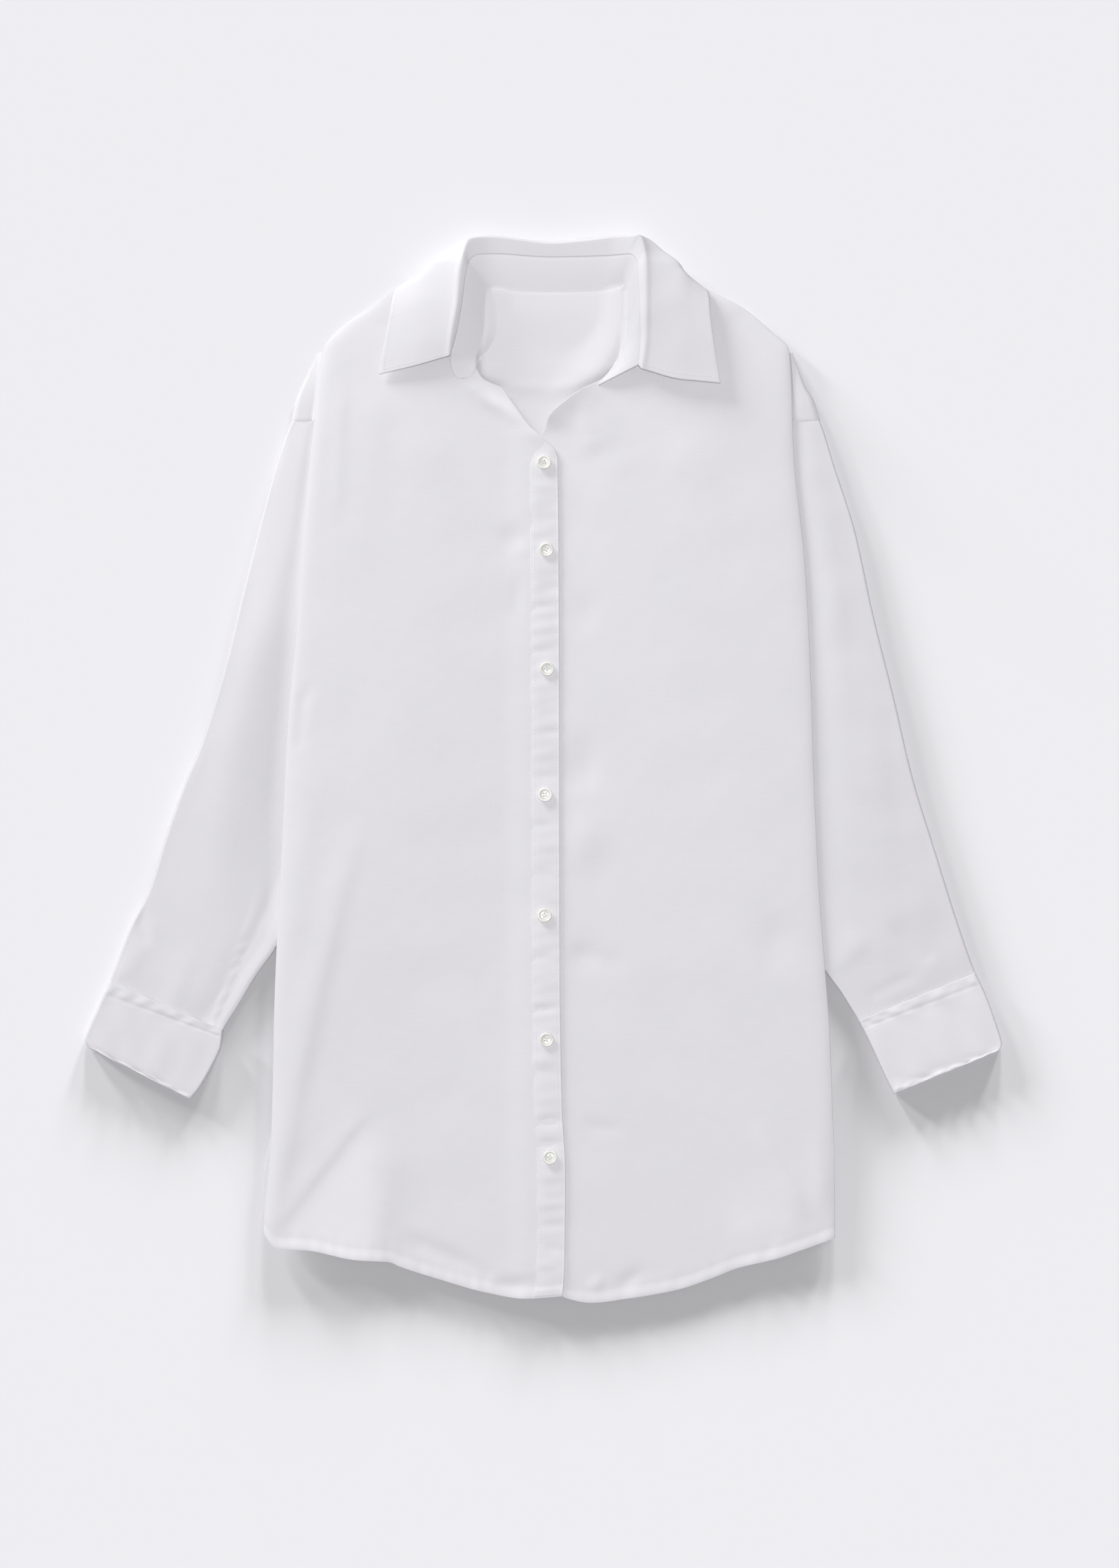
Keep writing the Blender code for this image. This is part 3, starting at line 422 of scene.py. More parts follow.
# row: outer x, y, inner x, y, height
LEFT_CUFF = metres((
    (-377.2, -185.6, -278.5, -228.4, 7.4),
    (-387, -207.5, -280, -242, 7),
    (-398.5, -235.9, -301, -281.5, 6.6),
    (-395, -244, -307.5, -288.5, 5.8),
))
RIGHT_CUFF = metres((
    (376.3, -178.1, 274.5, -220.1, 7.4),
    (385.8, -198.1, 282, -234.7, 7),
    (399.6, -239.8, 298.8, -270.7, 6.6),
    (397.8, -246.1, 305.4, -283.9, 6),
))
# as in FRONT_FOLDS
SLEEVE_FOLDS = metres((
    # left sleeve: seam strip along its inner edge, and small creases
    (11, 11, (-232, -70, 0), (-235, -110, 0.6), (-240, -154.9, 1.1), (-257, -180.7, 1.2),
     (-273, -207.7, 1), (-286, -228.1, 0.6)),
    (0.8, 1.6, (-233, -70, 0), (-242.5, -100, 0.6), (-256.5, -140, 0.8), (-270.5, -180, 0.8),
     (-288.5, -226, 0.8)),
    (6, 5, (-356, -98, 0), (-354, -120, -1.4), (-347, -146, -1), (-342, -160, 0)),
    (14, 12, (-296, 50, 0), (-303, 10, 0.8), (-312, -30, 0)),
    (10, 8, (-362, -176, 0.8), (-344, -150, 0.6), (-330, -124, 0)),
    (10, 8, (-322, -204, 0.8), (-312, -176, 0.6), (-300, -150, 0)),
    # right sleeve
    (8, 6, (298, -132, 0), (314, -148, -1.2), (332, -164, -1.2), (342, -170, 0)),
    (12, 8, (260, -170, 0.8), (272, -156, 1), (286, -144, 0)),
    (6, 6, (290, -196, -0.6), (310, -186, -0.9), (330, -180, 0)),
    (10, 12, (248, 180, 0), (256, 136, 0.8), (264, 100, 0)),
    (14, 14, (276, 50, 0), (288, 0, 0.9), (300, -50, 0)),
))

# row: place along the band, then x, y, z at the neck seam and at the seam with the leaf
STAND = metres((
    (0, -69, 338.8, 7.4, -73.5, 338.8, 7.6),
    (0.015, -63, 341.2, 7.4, -77.2, 342.5, 8.4),
    (0.04, -59.2, 348, 7.8, -80, 352, 10.6),
    (0.07, -58, 357, 8, -80, 361, 14.5),
    (0.12, -54.5, 368, 7.8, -74.5, 379.5, 18.5),
    (0.18, -51.5, 380, 7.6, -70, 403.5, 20.2),
    (0.27, -50, 408, 7, -67.2, 424.5, 19),
    (0.33, -48, 418, 6, -64, 436.5, 16.1),
    (0.38, -42, 419, 4.4, -52, 444, 11.9),
    (0.45, -15, 416.5, 3.7, -17, 442.5, 9.1),
    (0.52, 16, 416, 3.7, 16.2, 440.8, 8.9),
    (0.59, 48, 417.8, 4, 50, 442, 10.1),
    (0.65, 68, 421.5, 5.4, 73.5, 443, 13.7),
    (0.7, 73.5, 414, 6.6, 81.2, 434, 17.7),
    (0.78, 74, 390, 7.4, 82.2, 412, 20.2),
    (0.88, 70.5, 364, 7.8, 83.2, 382, 19),
    (0.95, 63, 348, 8.2, 83.4, 360, 17.3),
    (1, 48, 332.5, 9, 82.2, 345.5, 15.8),
), plain=(0,))
# row: place along the stand, how far its neck seam runs out over the back
STAND_FOOT = metres((
    (0, 0), (0.05, 2), (0.12, 12), (0.2, 18), (0.27, 15), (0.33, 8), (0.4, 10), (0.6, 10),
    (0.7, 9), (0.86, 8), (0.95, 3), (1, 0),
), plain=(0,))
# row: place along the stand, how much lighter it is painted there: painted light at its left end,
# less on its left side and at the back, painted shade on the inner face of its right side
STAND_PAINTED_LIGHT = (
    (0.00, 0.70), (0.045, 0.70), (0.08, 0.20), (0.33, 0.25), (0.40, 0.38), (0.60, 0.38),
    (0.66, -0.15), (0.72, -0.60), (1.00, -0.60),
)
# row: place along the leaf, then x, y, z at the stand, the roll, the belly and the edge
LEAF = metres((
    (0, -80, 360.8, 16.7, -81.8, 358, 19, -110.4, 349.7, 16.4, -142.4, 341.9, 13.4),
    (0.08, -74.8, 380.5, 19.3, -79.4, 379, 22.5, -108, 374.3, 18.4, -138.8, 365.3, 13.9),
    (0.17, -70.4, 404.7, 21.1, -75.2, 404, 24.3, -104, 402, 19.3, -134, 391, 13.9),
    (0.24, -67.8, 425.8, 20.1, -73.8, 426.5, 23.1, -100, 427, 17, -129, 414, 10.5),
    (0.28, -66, 434.5, 18.8, -71.6, 439.5, 21.7, -98.5, 437.5, 14, -118, 421.5, 5),
    (0.32, -64.8, 440, 16.5, -69, 450, 18.8, -86.5, 446.5, 10, -96, 418, 1.4),
    (0.37, -56, 446.2, 13.5, -64, 460, 17.6, -69, 457, 8, -73, 411, 1),
    (0.43, -40, 446.8, 10.5, -44, 461.8, 13.1, -45, 462.5, 6, -46, 408, 1),
    (0.5, 8, 444, 9.5, 8, 456.5, 11.7, 8, 457.5, 5.2, 8, 406.5, 1),
    (0.57, 56, 445.2, 10.8, 59, 461.2, 13.7, 60, 462.2, 6, 60, 408, 1),
    (0.63, 75.2, 446.5, 15.6, 83.5, 463, 20.4, 88.5, 460, 8.5, 88, 412, 1),
    (0.68, 82.2, 438.5, 18.8, 88.6, 451, 20.5, 105, 449, 10.5, 112, 418, 1.4),
    (0.72, 83, 430, 20.5, 89.6, 438, 22.5, 118, 437.5, 15, 134, 419, 4),
    (0.76, 83.2, 420, 21.2, 89.8, 424, 23.7, 119, 429, 18, 144, 413, 12),
    (0.83, 84, 398, 21.1, 90, 400, 24.2, 118.5, 403, 21.6, 145.8, 393, 19),
    (0.91, 84.8, 376, 19.3, 90, 377.3, 22.5, 120, 373.1, 22, 148.8, 370, 20.6),
    (1, 83.2, 350, 18, 86.2, 346.5, 20.8, 118.2, 337.7, 20.8, 154.6, 334.1, 20.4),
), plain=(0,))
# row: place along the stand, place along the leaf that is sewn to it there
LEAF_AT_STAND = (
    (0.07, 0.00), (0.12, 0.08), (0.18, 0.165), (0.27, 0.235), (0.33, 0.290), (0.38, 0.375),
    (0.45, 0.445), (0.52, 0.515), (0.59, 0.565), (0.65, 0.625), (0.70, 0.690), (0.78, 0.790),
    (0.88, 0.885), (1.00, 1.00),
)
# row: place x, y, turn in degrees, lean to the right, lean upwards, of each button
BUTTONS = metres((
    (0.8, 265.5, 20, 0.1, 0.06),
    (2.8, 189.9, -25, 0.06, -0.04),
    (3.5, 86.2, 50, -0.05, -0.07),
    (1.8, -23.5, 8, 0.03, 0.02),
    (1.3, -128.5, 33, -0.03, 0.05),
    (3, -236.5, -12, 0.04, -0.03),
    (6.2, -339.1, 40, 0.07, 0.04),
), plain=(2, 3, 4))
# row: radius and height, as parts of the button's, from the middle of its face to its back
BUTTON_PROFILE = (
    (0.00, 0.72), (0.20, 0.72), (0.42, 0.73), (0.58, 0.76), (0.68, 0.85), (0.76, 0.97),
    (0.84, 1.00), (0.91, 0.97), (0.96, 0.86), (0.99, 0.68), (1.00, 0.50), (0.97, 0.30),
    (0.90, 0.12), (0.78, 0.02), (0.50, 0.0), (0.0, 0.0),
)
# row: level y, depth of a pucker across the band, half its length, where it is deepest
PUCKERS = metres((
    (245, 0.5, 5, 0.4), (217, -0.6, 6, 0.5), (204, 0.4, 4, 0.3), (176, 0.6, 5.5, 0.5),
    (158, -0.5, 5, 0.7), (140, -0.7, 4.5, 0.3), (122, 0.5, 5, 0.5), (101, -0.6, 4, 0.4),
    (70, 0.5, 6, 0.5), (48, -0.5, 5, 0.6), (31, -0.6, 4, 0.7), (12, 0.4, 5, 0.4),
    (-8, -0.6, 4.5, 0.5), (-50, -0.6, 4, 0.3), (-68, 0.5, 5.5, 0.6), (-93, -0.5, 4.5, 0.4),
    (-111, 0.4, 5, 0.5), (-166, -0.7, 4, 0.3), (-185, 0.5, 5, 0.6), (-210, -0.9, 3.8, 0.4),
    (-256, 0.6, 5, 0.5), (-265, -0.7, 4.5, 0.4), (-287, 0.6, 6.5, 0.5), (-308, -1.3, 5, 0.5),
    (-327, -1.2, 4.2, 0.4), (-356, 0.7, 5, 0.6), (-380, 0.6, 4, 0.5), (-398, -0.7, 4.5, 0.5),
    (-418, -0.9, 5, 0.6), (-434, 0.6, 4.5, 0.4),
), plain=(3,))


# ---- curves through tables
def ramp(t):
    t = np.clip(t, 0.0, 1.0)
    return t * t * (3.0 - 2.0 * t)


def grown(value, start, span):
    """0 up to the start, 1 after the span; a span below 0 goes the other way."""
    return ramp((value - start) / span)


def hill(distance, reach):
    return np.exp(-(distance / reach) ** 2)


def mix(a, b, t):
    return a + (b - a) * t


def along(rows, t):
    """Smooth values of a table at keys t, without overshoot between its rows."""
    table = np.array(rows, float)
    keys, values = table[:, 0], table[:, 1:]
    t = np.clip(np.asarray(t, float), keys[0], keys[-1])
    steps = np.diff(keys)
    secants = np.diff(values, axis=0) / steps[:, None]
    before, after = secants[:-1], secants[1:]
    agree = before * after > 0.0
    total = np.where(agree, before + after, 1.0)
    inner = np.where(agree, 2.0 * before * after / total, 0.0)
    slopes = np.vstack([secants[:1], inner, secants[-1:]])
    k = np.clip(np.searchsorted(keys, t, side="left") - 1, 0, len(keys) - 2)
    span = steps[k][..., None]
    s = ((t - keys[k]) / steps[k])[..., None]
    return ((2 * s**3 - 3 * s**2 + 1) * values[k] + (s**3 - 2 * s**2 + s) * slopes[k] * span
            + (3 * s**2 - 2 * s**3) * values[k + 1] + (s**3 - s**2) * slopes[k + 1] * span)


def at(rows, t):
    return along(rows, t)[..., 0]


# ---- heights over the floor
def tucked_edge(sleeve, y):
    """x of a sleeve's inner edge at level y, where the body lies on it."""
    rows = sorted((row[3], row[2]) for row in sleeve)
    step = (rows[1][1] - rows[0][1]) / (rows[1][0] - rows[0][0])
    low = rows[0][1] + step * (y - rows[0][0])
    return np.where(y < rows[0][0], low, at(rows, y))


def sleeve_lift(x, y, reach, fade):
    """How far the body is lifted by the two sleeves under it."""
    start, span = reach
    over_left = ramp((tucked_edge(LEFT_SLEEVE, y) - x + start) / span)
    over_right = ramp((x - tucked_edge(RIGHT_SLEEVE, y) + start) / span)
    return SLEEVE_LIFT * np.maximum(over_left, over_right) * (1.0 - LIFT_FADED * grown(y, *fade))


def neck_lift(x, y):
    return NECK_LIFT * grown(y, *NECK_LIFT_FROM) * grown(abs(x - NECK_MIDDLE), *NECK_LIFT_SIDE)


def neck_rise(x, y):
    """The back curves up to the stand on both sides of the neck opening."""
    first, last = NECK_RISE_ENDS
    inwards_left, inwards_right, outwards = NECK_RISE_REACH
    left = x - np.maximum(at(TOP_FRONT_EDGE, y), first) - NECK_RISE_INSET
    right = np.minimum(at(UNDER_FRONT_EDGE, y), last) - NECK_RISE_INSET - x
    left = hill(left, np.where(left > 0.0, inwards_left, outwards))
    right = hill(right, np.where(right > 0.0, inwards_right, outwards))
    return NECK_RISE * np.maximum(left, right) * grown(y, *NECK_RISE_FROM)


def back_height(x, y):
    lifted = np.maximum(sleeve_lift(x, y, LIFT_REACH, LIFT_FADE), neck_lift(x, y))
    return np.maximum(lifted, neck_rise(x, y))


def fold_height(x, y, folds):
    """Soft ridges and troughs along bent lines, each with its own two flanks."""
    total = np.zeros(np.broadcast(x, y).shape)
    for left, right, *points in folds:
        nearest = np.full(total.shape, np.inf)
        height = np.zeros(total.shape)
        reach = np.full(total.shape, left)
        for (x0, y0, h0), (x1, y1, h1) in zip(points, points[1:]):
            dx, dy = x1 - x0, y1 - y0
            t = np.clip(((x - x0) * dx + (y - y0) * dy) / (dx * dx + dy * dy), 0.0, 1.0)
            away_x, away_y = x - x0 - t * dx, y - y0 - t * dy
            away = np.hypot(away_x, away_y)
            closer = away < nearest
            nearest = np.where(closer, away, nearest)
            height = np.where(closer, mix(h0, h1, ramp(t)), height)
            reach = np.where(closer, np.where(dx * away_y - dy * away_x > 0.0, left, right),
                             reach)
        total += height * hill(nearest, reach)
    return total


def waves(x, y, size, seed):
    """Gentle unevenness without direction: a few crossed waves, from about -1 to 1."""
    rng = np.random.default_rng(seed)
    total = 0.0
    for _ in range(WAVES):
        angle = rng.uniform(0.0, math.pi)
        length = size * rng.uniform(0.6, 1.6)
        phase = rng.uniform(0.0, 2.0 * math.pi)
        total = total + np.sin(
            2.0 * math.pi * (x * math.cos(angle) + y * math.sin(angle)) / length + phase)
    return 2.0 * total / WAVES


def front_height(x, y, neck_folds=UNDER_NECK_FOLDS):
    """Lower face of either front, as in the solids, with the looks' own folds."""
    inside = np.minimum(x - at(LEFT_SIDE, y), at(RIGHT_SIDE, y) - x)
    rise = 1.0 - np.exp(-np.maximum(inside, 0.0) / EDGE_REACH)
    loft = LOFT * mix(1.0, LOFT_AT_NECK, grown(y, *LOFT_FADE))
    uneven = sum(height * waves(x, y, size, seed) for height, size, seed in UNEVEN)
    raised = loft + fold_height(x, y, FRONT_FOLDS + neck_folds) + uneven
    base = np.maximum(sleeve_lift(x, y, HANG_REACH, HANG_FADE), neck_lift(x, y))
    return base + CLOTH + SEAM_GAP + np.maximum(raised, LEAST_LOFT) * rise


def top_front_height(x, y):
    overlap = ramp((x - LAP_START) / (OVERLAP_FULL - LAP_START)) * grown(y, *OVERLAP_FADE)
    return front_height(x, y, TOP_NECK_FOLDS) + (CLOTH + 2.0 * SEAM_GAP) * overlap


def hem_rise(x, y, hem, seed):
    """The turned hem: a raised band with small puckers, and a groove above it."""
    depth = y - at(hem, x)
    band = 1.0 - grown(depth - HEM_BAND, *HEM_STEP)
    groove = hill(depth - HEM_BAND - GROOVE_INSET, GROOVE_REACH)
    puckers = waves(x, depth * HEM_PUCKER_SLANT, HEM_PUCKER_SIZE, seed)
    puckers = puckers * hill(depth, HEM_PUCKER_REACH)
    return HEM_RISE * band - GROOVE_DEPTH * groove + HEM_PUCKER * puckers


def front_layers_and_painted_light(x, y, hem):
    """Lighter parts of the fronts: the hem, where the cloth lies double, and painted light on the
    lower corners that stand open and on the lip at the neck.
    """
    band = 1.0 - grown(y - at(hem, x) - HEM_BAND, *HEM_LIGHT_STEP)
    (point_x, point_y), (run_x, run_y) = LEFT_LIGHT_POINT, LEFT_LIGHT_RUN
    beside = (y - point_y) * run_x - (x - point_x) * run_y
    left = ramp(-beside / LEFT_LIGHT_SOFT) * grown(x, *LEFT_LIGHT_X) * grown(y, *LEFT_LIGHT_Y)
    right = grown(x, *RIGHT_LIGHT_X) * grown(y, *RIGHT_LIGHT_Y) * grown(x, *RIGHT_LIGHT_END)
    lip = fold_height(x, y, LIP_PAINTED_LIGHT) * (x < 0.0)
    return np.clip(HEM_LIGHT * band + LEFT_PAINTED_LIGHT * left + RIGHT_PAINTED_LIGHT * right + lip, 0.0, 1.0)


# ---- meshes
def put(name, data, location=(0.0, 0.0, 0.0), turns=(0.0, 0.0, 0.0)):
    obj = bpy.data.objects.new(name, data)
    obj.location = location
    obj.rotation_euler = turns
    bpy.context.scene.collection.objects.link(obj)
    return obj


def place(obj, material=None, name=None):
    """Material and body of a piece, and hides the node that it stands for."""
    if material:
        obj.data.materials.append(material)
    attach(obj, "root")
    if name:
        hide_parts(name)


def make_mesh(name, points, faces, flat=None, layers_and_painted_light=None):
    mesh = bpy.data.meshes.new(name)
    used = np.unique(faces)
    number = np.zeros(len(points), int)
    number[used] = np.arange(len(used))
    mesh.from_pydata(points[used].tolist(), [], number[faces].tolist())
    for key, kind, field, values in (("grain", "FLOAT_VECTOR", "vector", flat),
                                     ("layers_and_painted_light", "FLOAT", "value", layers_and_painted_light)):
        if values is not None:
            layer = mesh.attributes.new(key, kind, "POINT")
            layer.data.foreach_set(field, values[used].astype(np.float32).ravel())
    return put(name, mesh)


def grid_faces(rows, columns, closed=False):
    numbers = np.arange(rows * columns).reshape(rows, columns)
    if closed:
        numbers = np.concatenate([numbers, numbers[:, :1]], axis=1)
    return np.stack([numbers[:-1, :-1], numbers[:-1, 1:], numbers[1:, 1:], numbers[1:, :-1]],
                    axis=-1)


def cloth_piece(name, points, flat, material, wall, offset=1.0, keep=None, closed=False,
                flip=False, layers_and_painted_light=0.0):
    """A grid of points, rows by columns, as a thin-walled piece with its grain."""
    rows, columns = points.shape[:2]
    faces = grid_faces(rows, columns, closed)
    faces = faces[keep] if keep is not None else faces.reshape(-1, 4)
    if flip:
        faces = faces[:, ::-1]
    grain = np.concatenate([flat, np.zeros(flat.shape[:2] + (1,))], axis=-1)
    layers_and_painted_light = np.broadcast_to(layers_and_painted_light, points.shape[:2]).ravel()
    obj = make_mesh(f"{name}_cloth", points.reshape(-1, 3), faces, grain.reshape(-1, 3), layers_and_painted_light)
    obj.data.shade_smooth()
    shell = obj.modifiers.new("wall", "SOLIDIFY")
    shell.thickness = wall
    shell.offset = offset
    shell.use_even_offset = False
    obj.modifiers.new("shading", "WEIGHTED_NORMAL").weight = 100
    place(obj, material, name)
    return obj


def side_columns(width):
    """Distances from the side: close together at both ends of the width."""
    near, far = np.array(NEAR_SIDE), np.array(NEAR_EDGE)
    middle = np.linspace(0.0, 1.0, MIDDLE_COLUMNS)[1:-1]
    squeeze = np.minimum(1.0, width / NARROW)[:, None]
    width = width[:, None]
    start, end = near[-1] * squeeze, width - far[0] * squeeze
    return np.concatenate([near * squeeze, start + (end - start) * middle,
                           width - far * squeeze], axis=1)


def hem_shifted(level, x, hem):
    share = ramp((HEM_FADE - level) / (HEM_FADE - HEM_LEVEL))
    return level + (at(hem, x) - HEM_LEVEL) * share


def stretch(first, last, cell=CELL):
    return np.linspace(first, last, max(2, int(round((last - first) / cell)) + 1))


def rows_of(levels, x):
    return np.broadcast_to(levels[:, None], x.shape)


# ---- body
def rounded(full, edge):
    """How far an edge is rounded, this far from it."""
    return np.sqrt(np.minimum(1.0, edge / (RING_ROUND * full)))


def shoulder_height(share, table):
    """Lower face of the dropped shoulder where the sleeve's top goes under it."""
    shown, crown, crest = table[2][4:7]
    full = crowned(shown * share, shown, crown, crest)
    return 0.5 * full * (1.0 + rounded(full, shown * share * DROP_WIDTH)) + DROP_GAP


def crowned(across, shown, crown, crest):
    """Height of a sleeve across its width: highest at the crest, flat under the body."""
    part = np.clip(across / shown, 0.0, 1.0)
    outer = mix(OUTER_SHARE, 1.0, ramp(part / crest))
    inner = np.sin(0.5 * math.pi * (1.0 - part) / (1.0 - crest))
    return SLEEVE_TUCKED + (crown - SLEEVE_TUCKED) * np.where(part < crest, outer, inner)


def front(name, side, drop, inner_edge, hem, height, seed, drop_painted_shade, material):
    """One front, with the dropped shoulder beyond the fold at the armhole."""
    levels = np.concatenate([stretch(HEM_LEVEL, SEAM_LEVEL), stretch(SEAM_LEVEL, TIP_LEVEL)[1:],
                             stretch(TIP_LEVEL, NECK_LEVEL)[1:]])
    seam_row = int(np.argmin(abs(levels - SEAM_LEVEL)))
    tip_row = int(np.argmin(abs(levels - TIP_LEVEL)))
    inward = 1.0 if side[0][1] < 0.0 else -1.0
    fold_x = at(side, levels)
    width = abs(at(inner_edge, levels) - fold_x)
    x = fold_x[:, None] + inward * side_columns(width)
    y = hem_shifted(rows_of(levels, x), x, hem)
    body = np.stack([x, y, height(x, y) + hem_rise(x, y, hem, seed)], axis=-1)

    share = np.linspace(0.0, 1.0, DROP_COLUMNS)[None, :]
    edge_x = at(drop, np.clip(levels, drop[0][0], drop[-1][0]))[:, None]
    drop_x = mix(edge_x, fold_x[:, None] - inward * DROP_TUCK, share)
    drop_y = rows_of(levels, drop_x)
    table = LEFT_SLEEVE if inward > 0.0 else RIGHT_SLEEVE
    drop_z = mix(mix(DROP_EDGE, DROP_FOOT, share), shoulder_height(share, table),
                 grown(levels[:, None], *DROP_EASE))
    drop_z = drop_z - SEAM_SUNK * (1.0 - grown(levels[:, None], SEAM_LEVEL, SEAM_SUNK_SPAN))
    shoulder = np.stack([drop_x, drop_y, drop_z], axis=-1)

    # painted shade on the right dropped shoulder; painted light and the lighter hem on the body
    light = np.concatenate([np.full(drop_x.shape, drop_painted_shade), front_layers_and_painted_light(x, y, hem)], axis=1)
    points = np.concatenate([shoulder, body], axis=1)
    keep = np.ones((points.shape[0] - 1, points.shape[1] - 1), bool)
    keep[:seam_row, :DROP_COLUMNS] = False
    keep[tip_row:, :DROP_COLUMNS] = False
    return cloth_piece(name, points, points[..., :2], material, SHELL, keep=keep,
                       flip=inward < 0.0, layers_and_painted_light=light)


def back(material):
    levels = stretch(HEM_LEVEL, NECK_LEVEL, BACK_CELL)
    low = at(LEFT_SIDE, np.minimum(levels, LEFT_TIP)) + BACK_INSET
    high = at(RIGHT_SIDE, np.minimum(levels, RIGHT_TIP)) - BACK_INSET
    even = np.linspace(0.0, 1.0, BACK_COLUMNS)
    share = mix(even, 0.5 - 0.5 * np.cos(math.pi * even), BACK_CROWDED)
    x = low[:, None] + (high - low)[:, None] * share
    level = rows_of(levels, x)
    y = hem_shifted(level, x, BACK_HEM)
    y = y + (at(BACK_TOP, x) - NECK_LEVEL) * grown(level, BACK_FADE, NECK_LEVEL - BACK_FADE)
    points = np.stack([x, y, back_height(x, y)], axis=-1)
    return cloth_piece("back", points, points[..., :2], material, SHELL)


def band_height(x, y, share):
    """Lower face of the button band: on the top front, with puckers across it."""
    z = top_front_height(x, y) + SHELL + BAND_GAP - BAND_DIP * grown(
        y - BAND_DIP_SLANT * (x - BAND_DIP_X), *BAND_DIP_FROM)
    for level, depth, half, middle in PUCKERS:
        z = z + depth * hill(y - level, half) * hill(share - middle, BAND_PUCKER_REACH)
    z = z + BAND_UNEVEN * waves(x * BAND_UNEVEN_SQUEEZE, y, BAND_UNEVEN_SIZE, 11)
    return (z + BAND_RIM * hill(1.0 - share, BAND_RIM_REACH)
            - BAND_SUNK * hill(share, BAND_SUNK_REACH))


def band_points(levels, share):
    levels = levels[:, None]
    outer = at(TOP_FRONT_EDGE, np.minimum(levels, BAND_CORNER)) - BAND_WIDTH
    x = mix(outer, at(TOP_FRONT_EDGE, levels) - SEAM_GAP, share[None, :])
    y = hem_shifted(np.broadcast_to(levels, x.shape), x, LEFT_HEM)
    z = band_height(x, y, share[None, :]) + hem_rise(x, y, LEFT_HEM, 21)
    return np.stack([x, y, z], axis=-1)


def button_band(material):
    levels = np.concatenate([stretch(BAND_START, BAND_CORNER, BAND_CELL),
                             stretch(BAND_CORNER, BAND_TOP, BAND_CELL)[1:]])
    points = band_points(levels, np.array(BAND_SHARES))
    return cloth_piece("button_band", points, points[..., :2], material, SHELL, layers_and_painted_light=BAND_TONE)


# ---- sleeves and cuffs
def rings_of(table, rings, around):
    """Values of a table at each ring, how far along it is, and how far round each point."""
    keyed = [(k,) + row for k, row in enumerate(table)]
    share = np.linspace(0.0, 1.0, rings)
    turn = np.broadcast_to(np.arange(around) / around, (rings, around))
    return along(keyed, (len(table) - 1) * share)[:, None, :], share[:, None], turn


def ring_points(outer, inner, turn, height_at):
    """Points of flattened rings: flat below, crowned above, round at both edges."""
    angle = 2.0 * math.pi * turn
    across = 0.5 - 0.5 * np.cos(angle)
    width = np.hypot(inner[..., 0] - outer[..., 0], inner[..., 1] - outer[..., 1])
    edge = np.minimum(across, 1.0 - across)
    full = height_at(across)
    middle = 0.5 * full
    rounding = rounded(full, edge * width)
    upper = np.sin(angle) > 0.0
    x = mix(outer[..., 0], inner[..., 0], across)
    y = mix(outer[..., 1], inner[..., 1], across)
    z = np.where(upper, middle + (full - middle) * rounding,
                 np.maximum(middle - middle * rounding, 0.0))
    return x, y, z, across, edge, upper


def tube(name, table, turn, length, grain, wall, light, x, y, z, material):
    flat = np.stack([turn * grain, np.broadcast_to(length, turn.shape)], axis=-1)
    return cloth_piece(name, np.stack([x, y, z], axis=-1), flat, material, wall, offset=-1.0,
                       closed=True, flip=table[0][0] < 0.0, layers_and_painted_light=light)


def sleeve(name, table, seed, seam_strip_and_painted_light, material):
    """A sleeve pressed flat: crowned where it shows, thin where the body lies on it."""
    values, place_along, turn = rings_of(table, SLEEVE_RINGS, SLEEVE_AROUND)
    outer, inner = values[..., 0:2], values[..., 2:4]
    shown, crown, crest = values[..., 4], values[..., 5], values[..., 6]
    x, y, z, across, edge, upper = ring_points(
        outer, inner, turn, lambda across: crowned(across, shown, crown, crest))
    shows = ramp((shown - across) / SHOWS_EASE) * ramp(edge / EDGE_EASE)
    free_edge = grown(shown, *FREE_FROM) * ramp((1.0 - across) / FREE_EDGE_EASE)
    detail = fold_height(x, y, SLEEVE_FOLDS)
    detail = detail + SLEEVE_UNEVEN * waves(x, y, SLEEVE_UNEVEN_SIZE, seed)
    z = z + np.where(upper, detail * np.maximum(shows, free_edge * (across > 0.5)), 0.0)
    # painted shade on the sleeves, painted light towards the upper end of the left one, and its
    # lighter seam strip
    light = SLEEVE_PAINTED_SHADE
    if seam_strip_and_painted_light:
        near_inner = (1.0 - across) * np.hypot(inner[..., 0] - outer[..., 0],
                                               inner[..., 1] - outer[..., 1])
        light = mix(light, UPPER_PAINTED_LIGHT, grown(y, *UPPER_PAINTED_LIGHT_FROM))
        strip = (1.0 - grown(near_inner, *STRIP_WIDTH)) * grown(shown, *STRIP_FROM)
        light = mix(light, STRIP_TONE, strip)
    width, length = SLEEVE_GRAIN
    return tube(name, table, turn, place_along * length, width, SHELL, light, x, y, z, material)


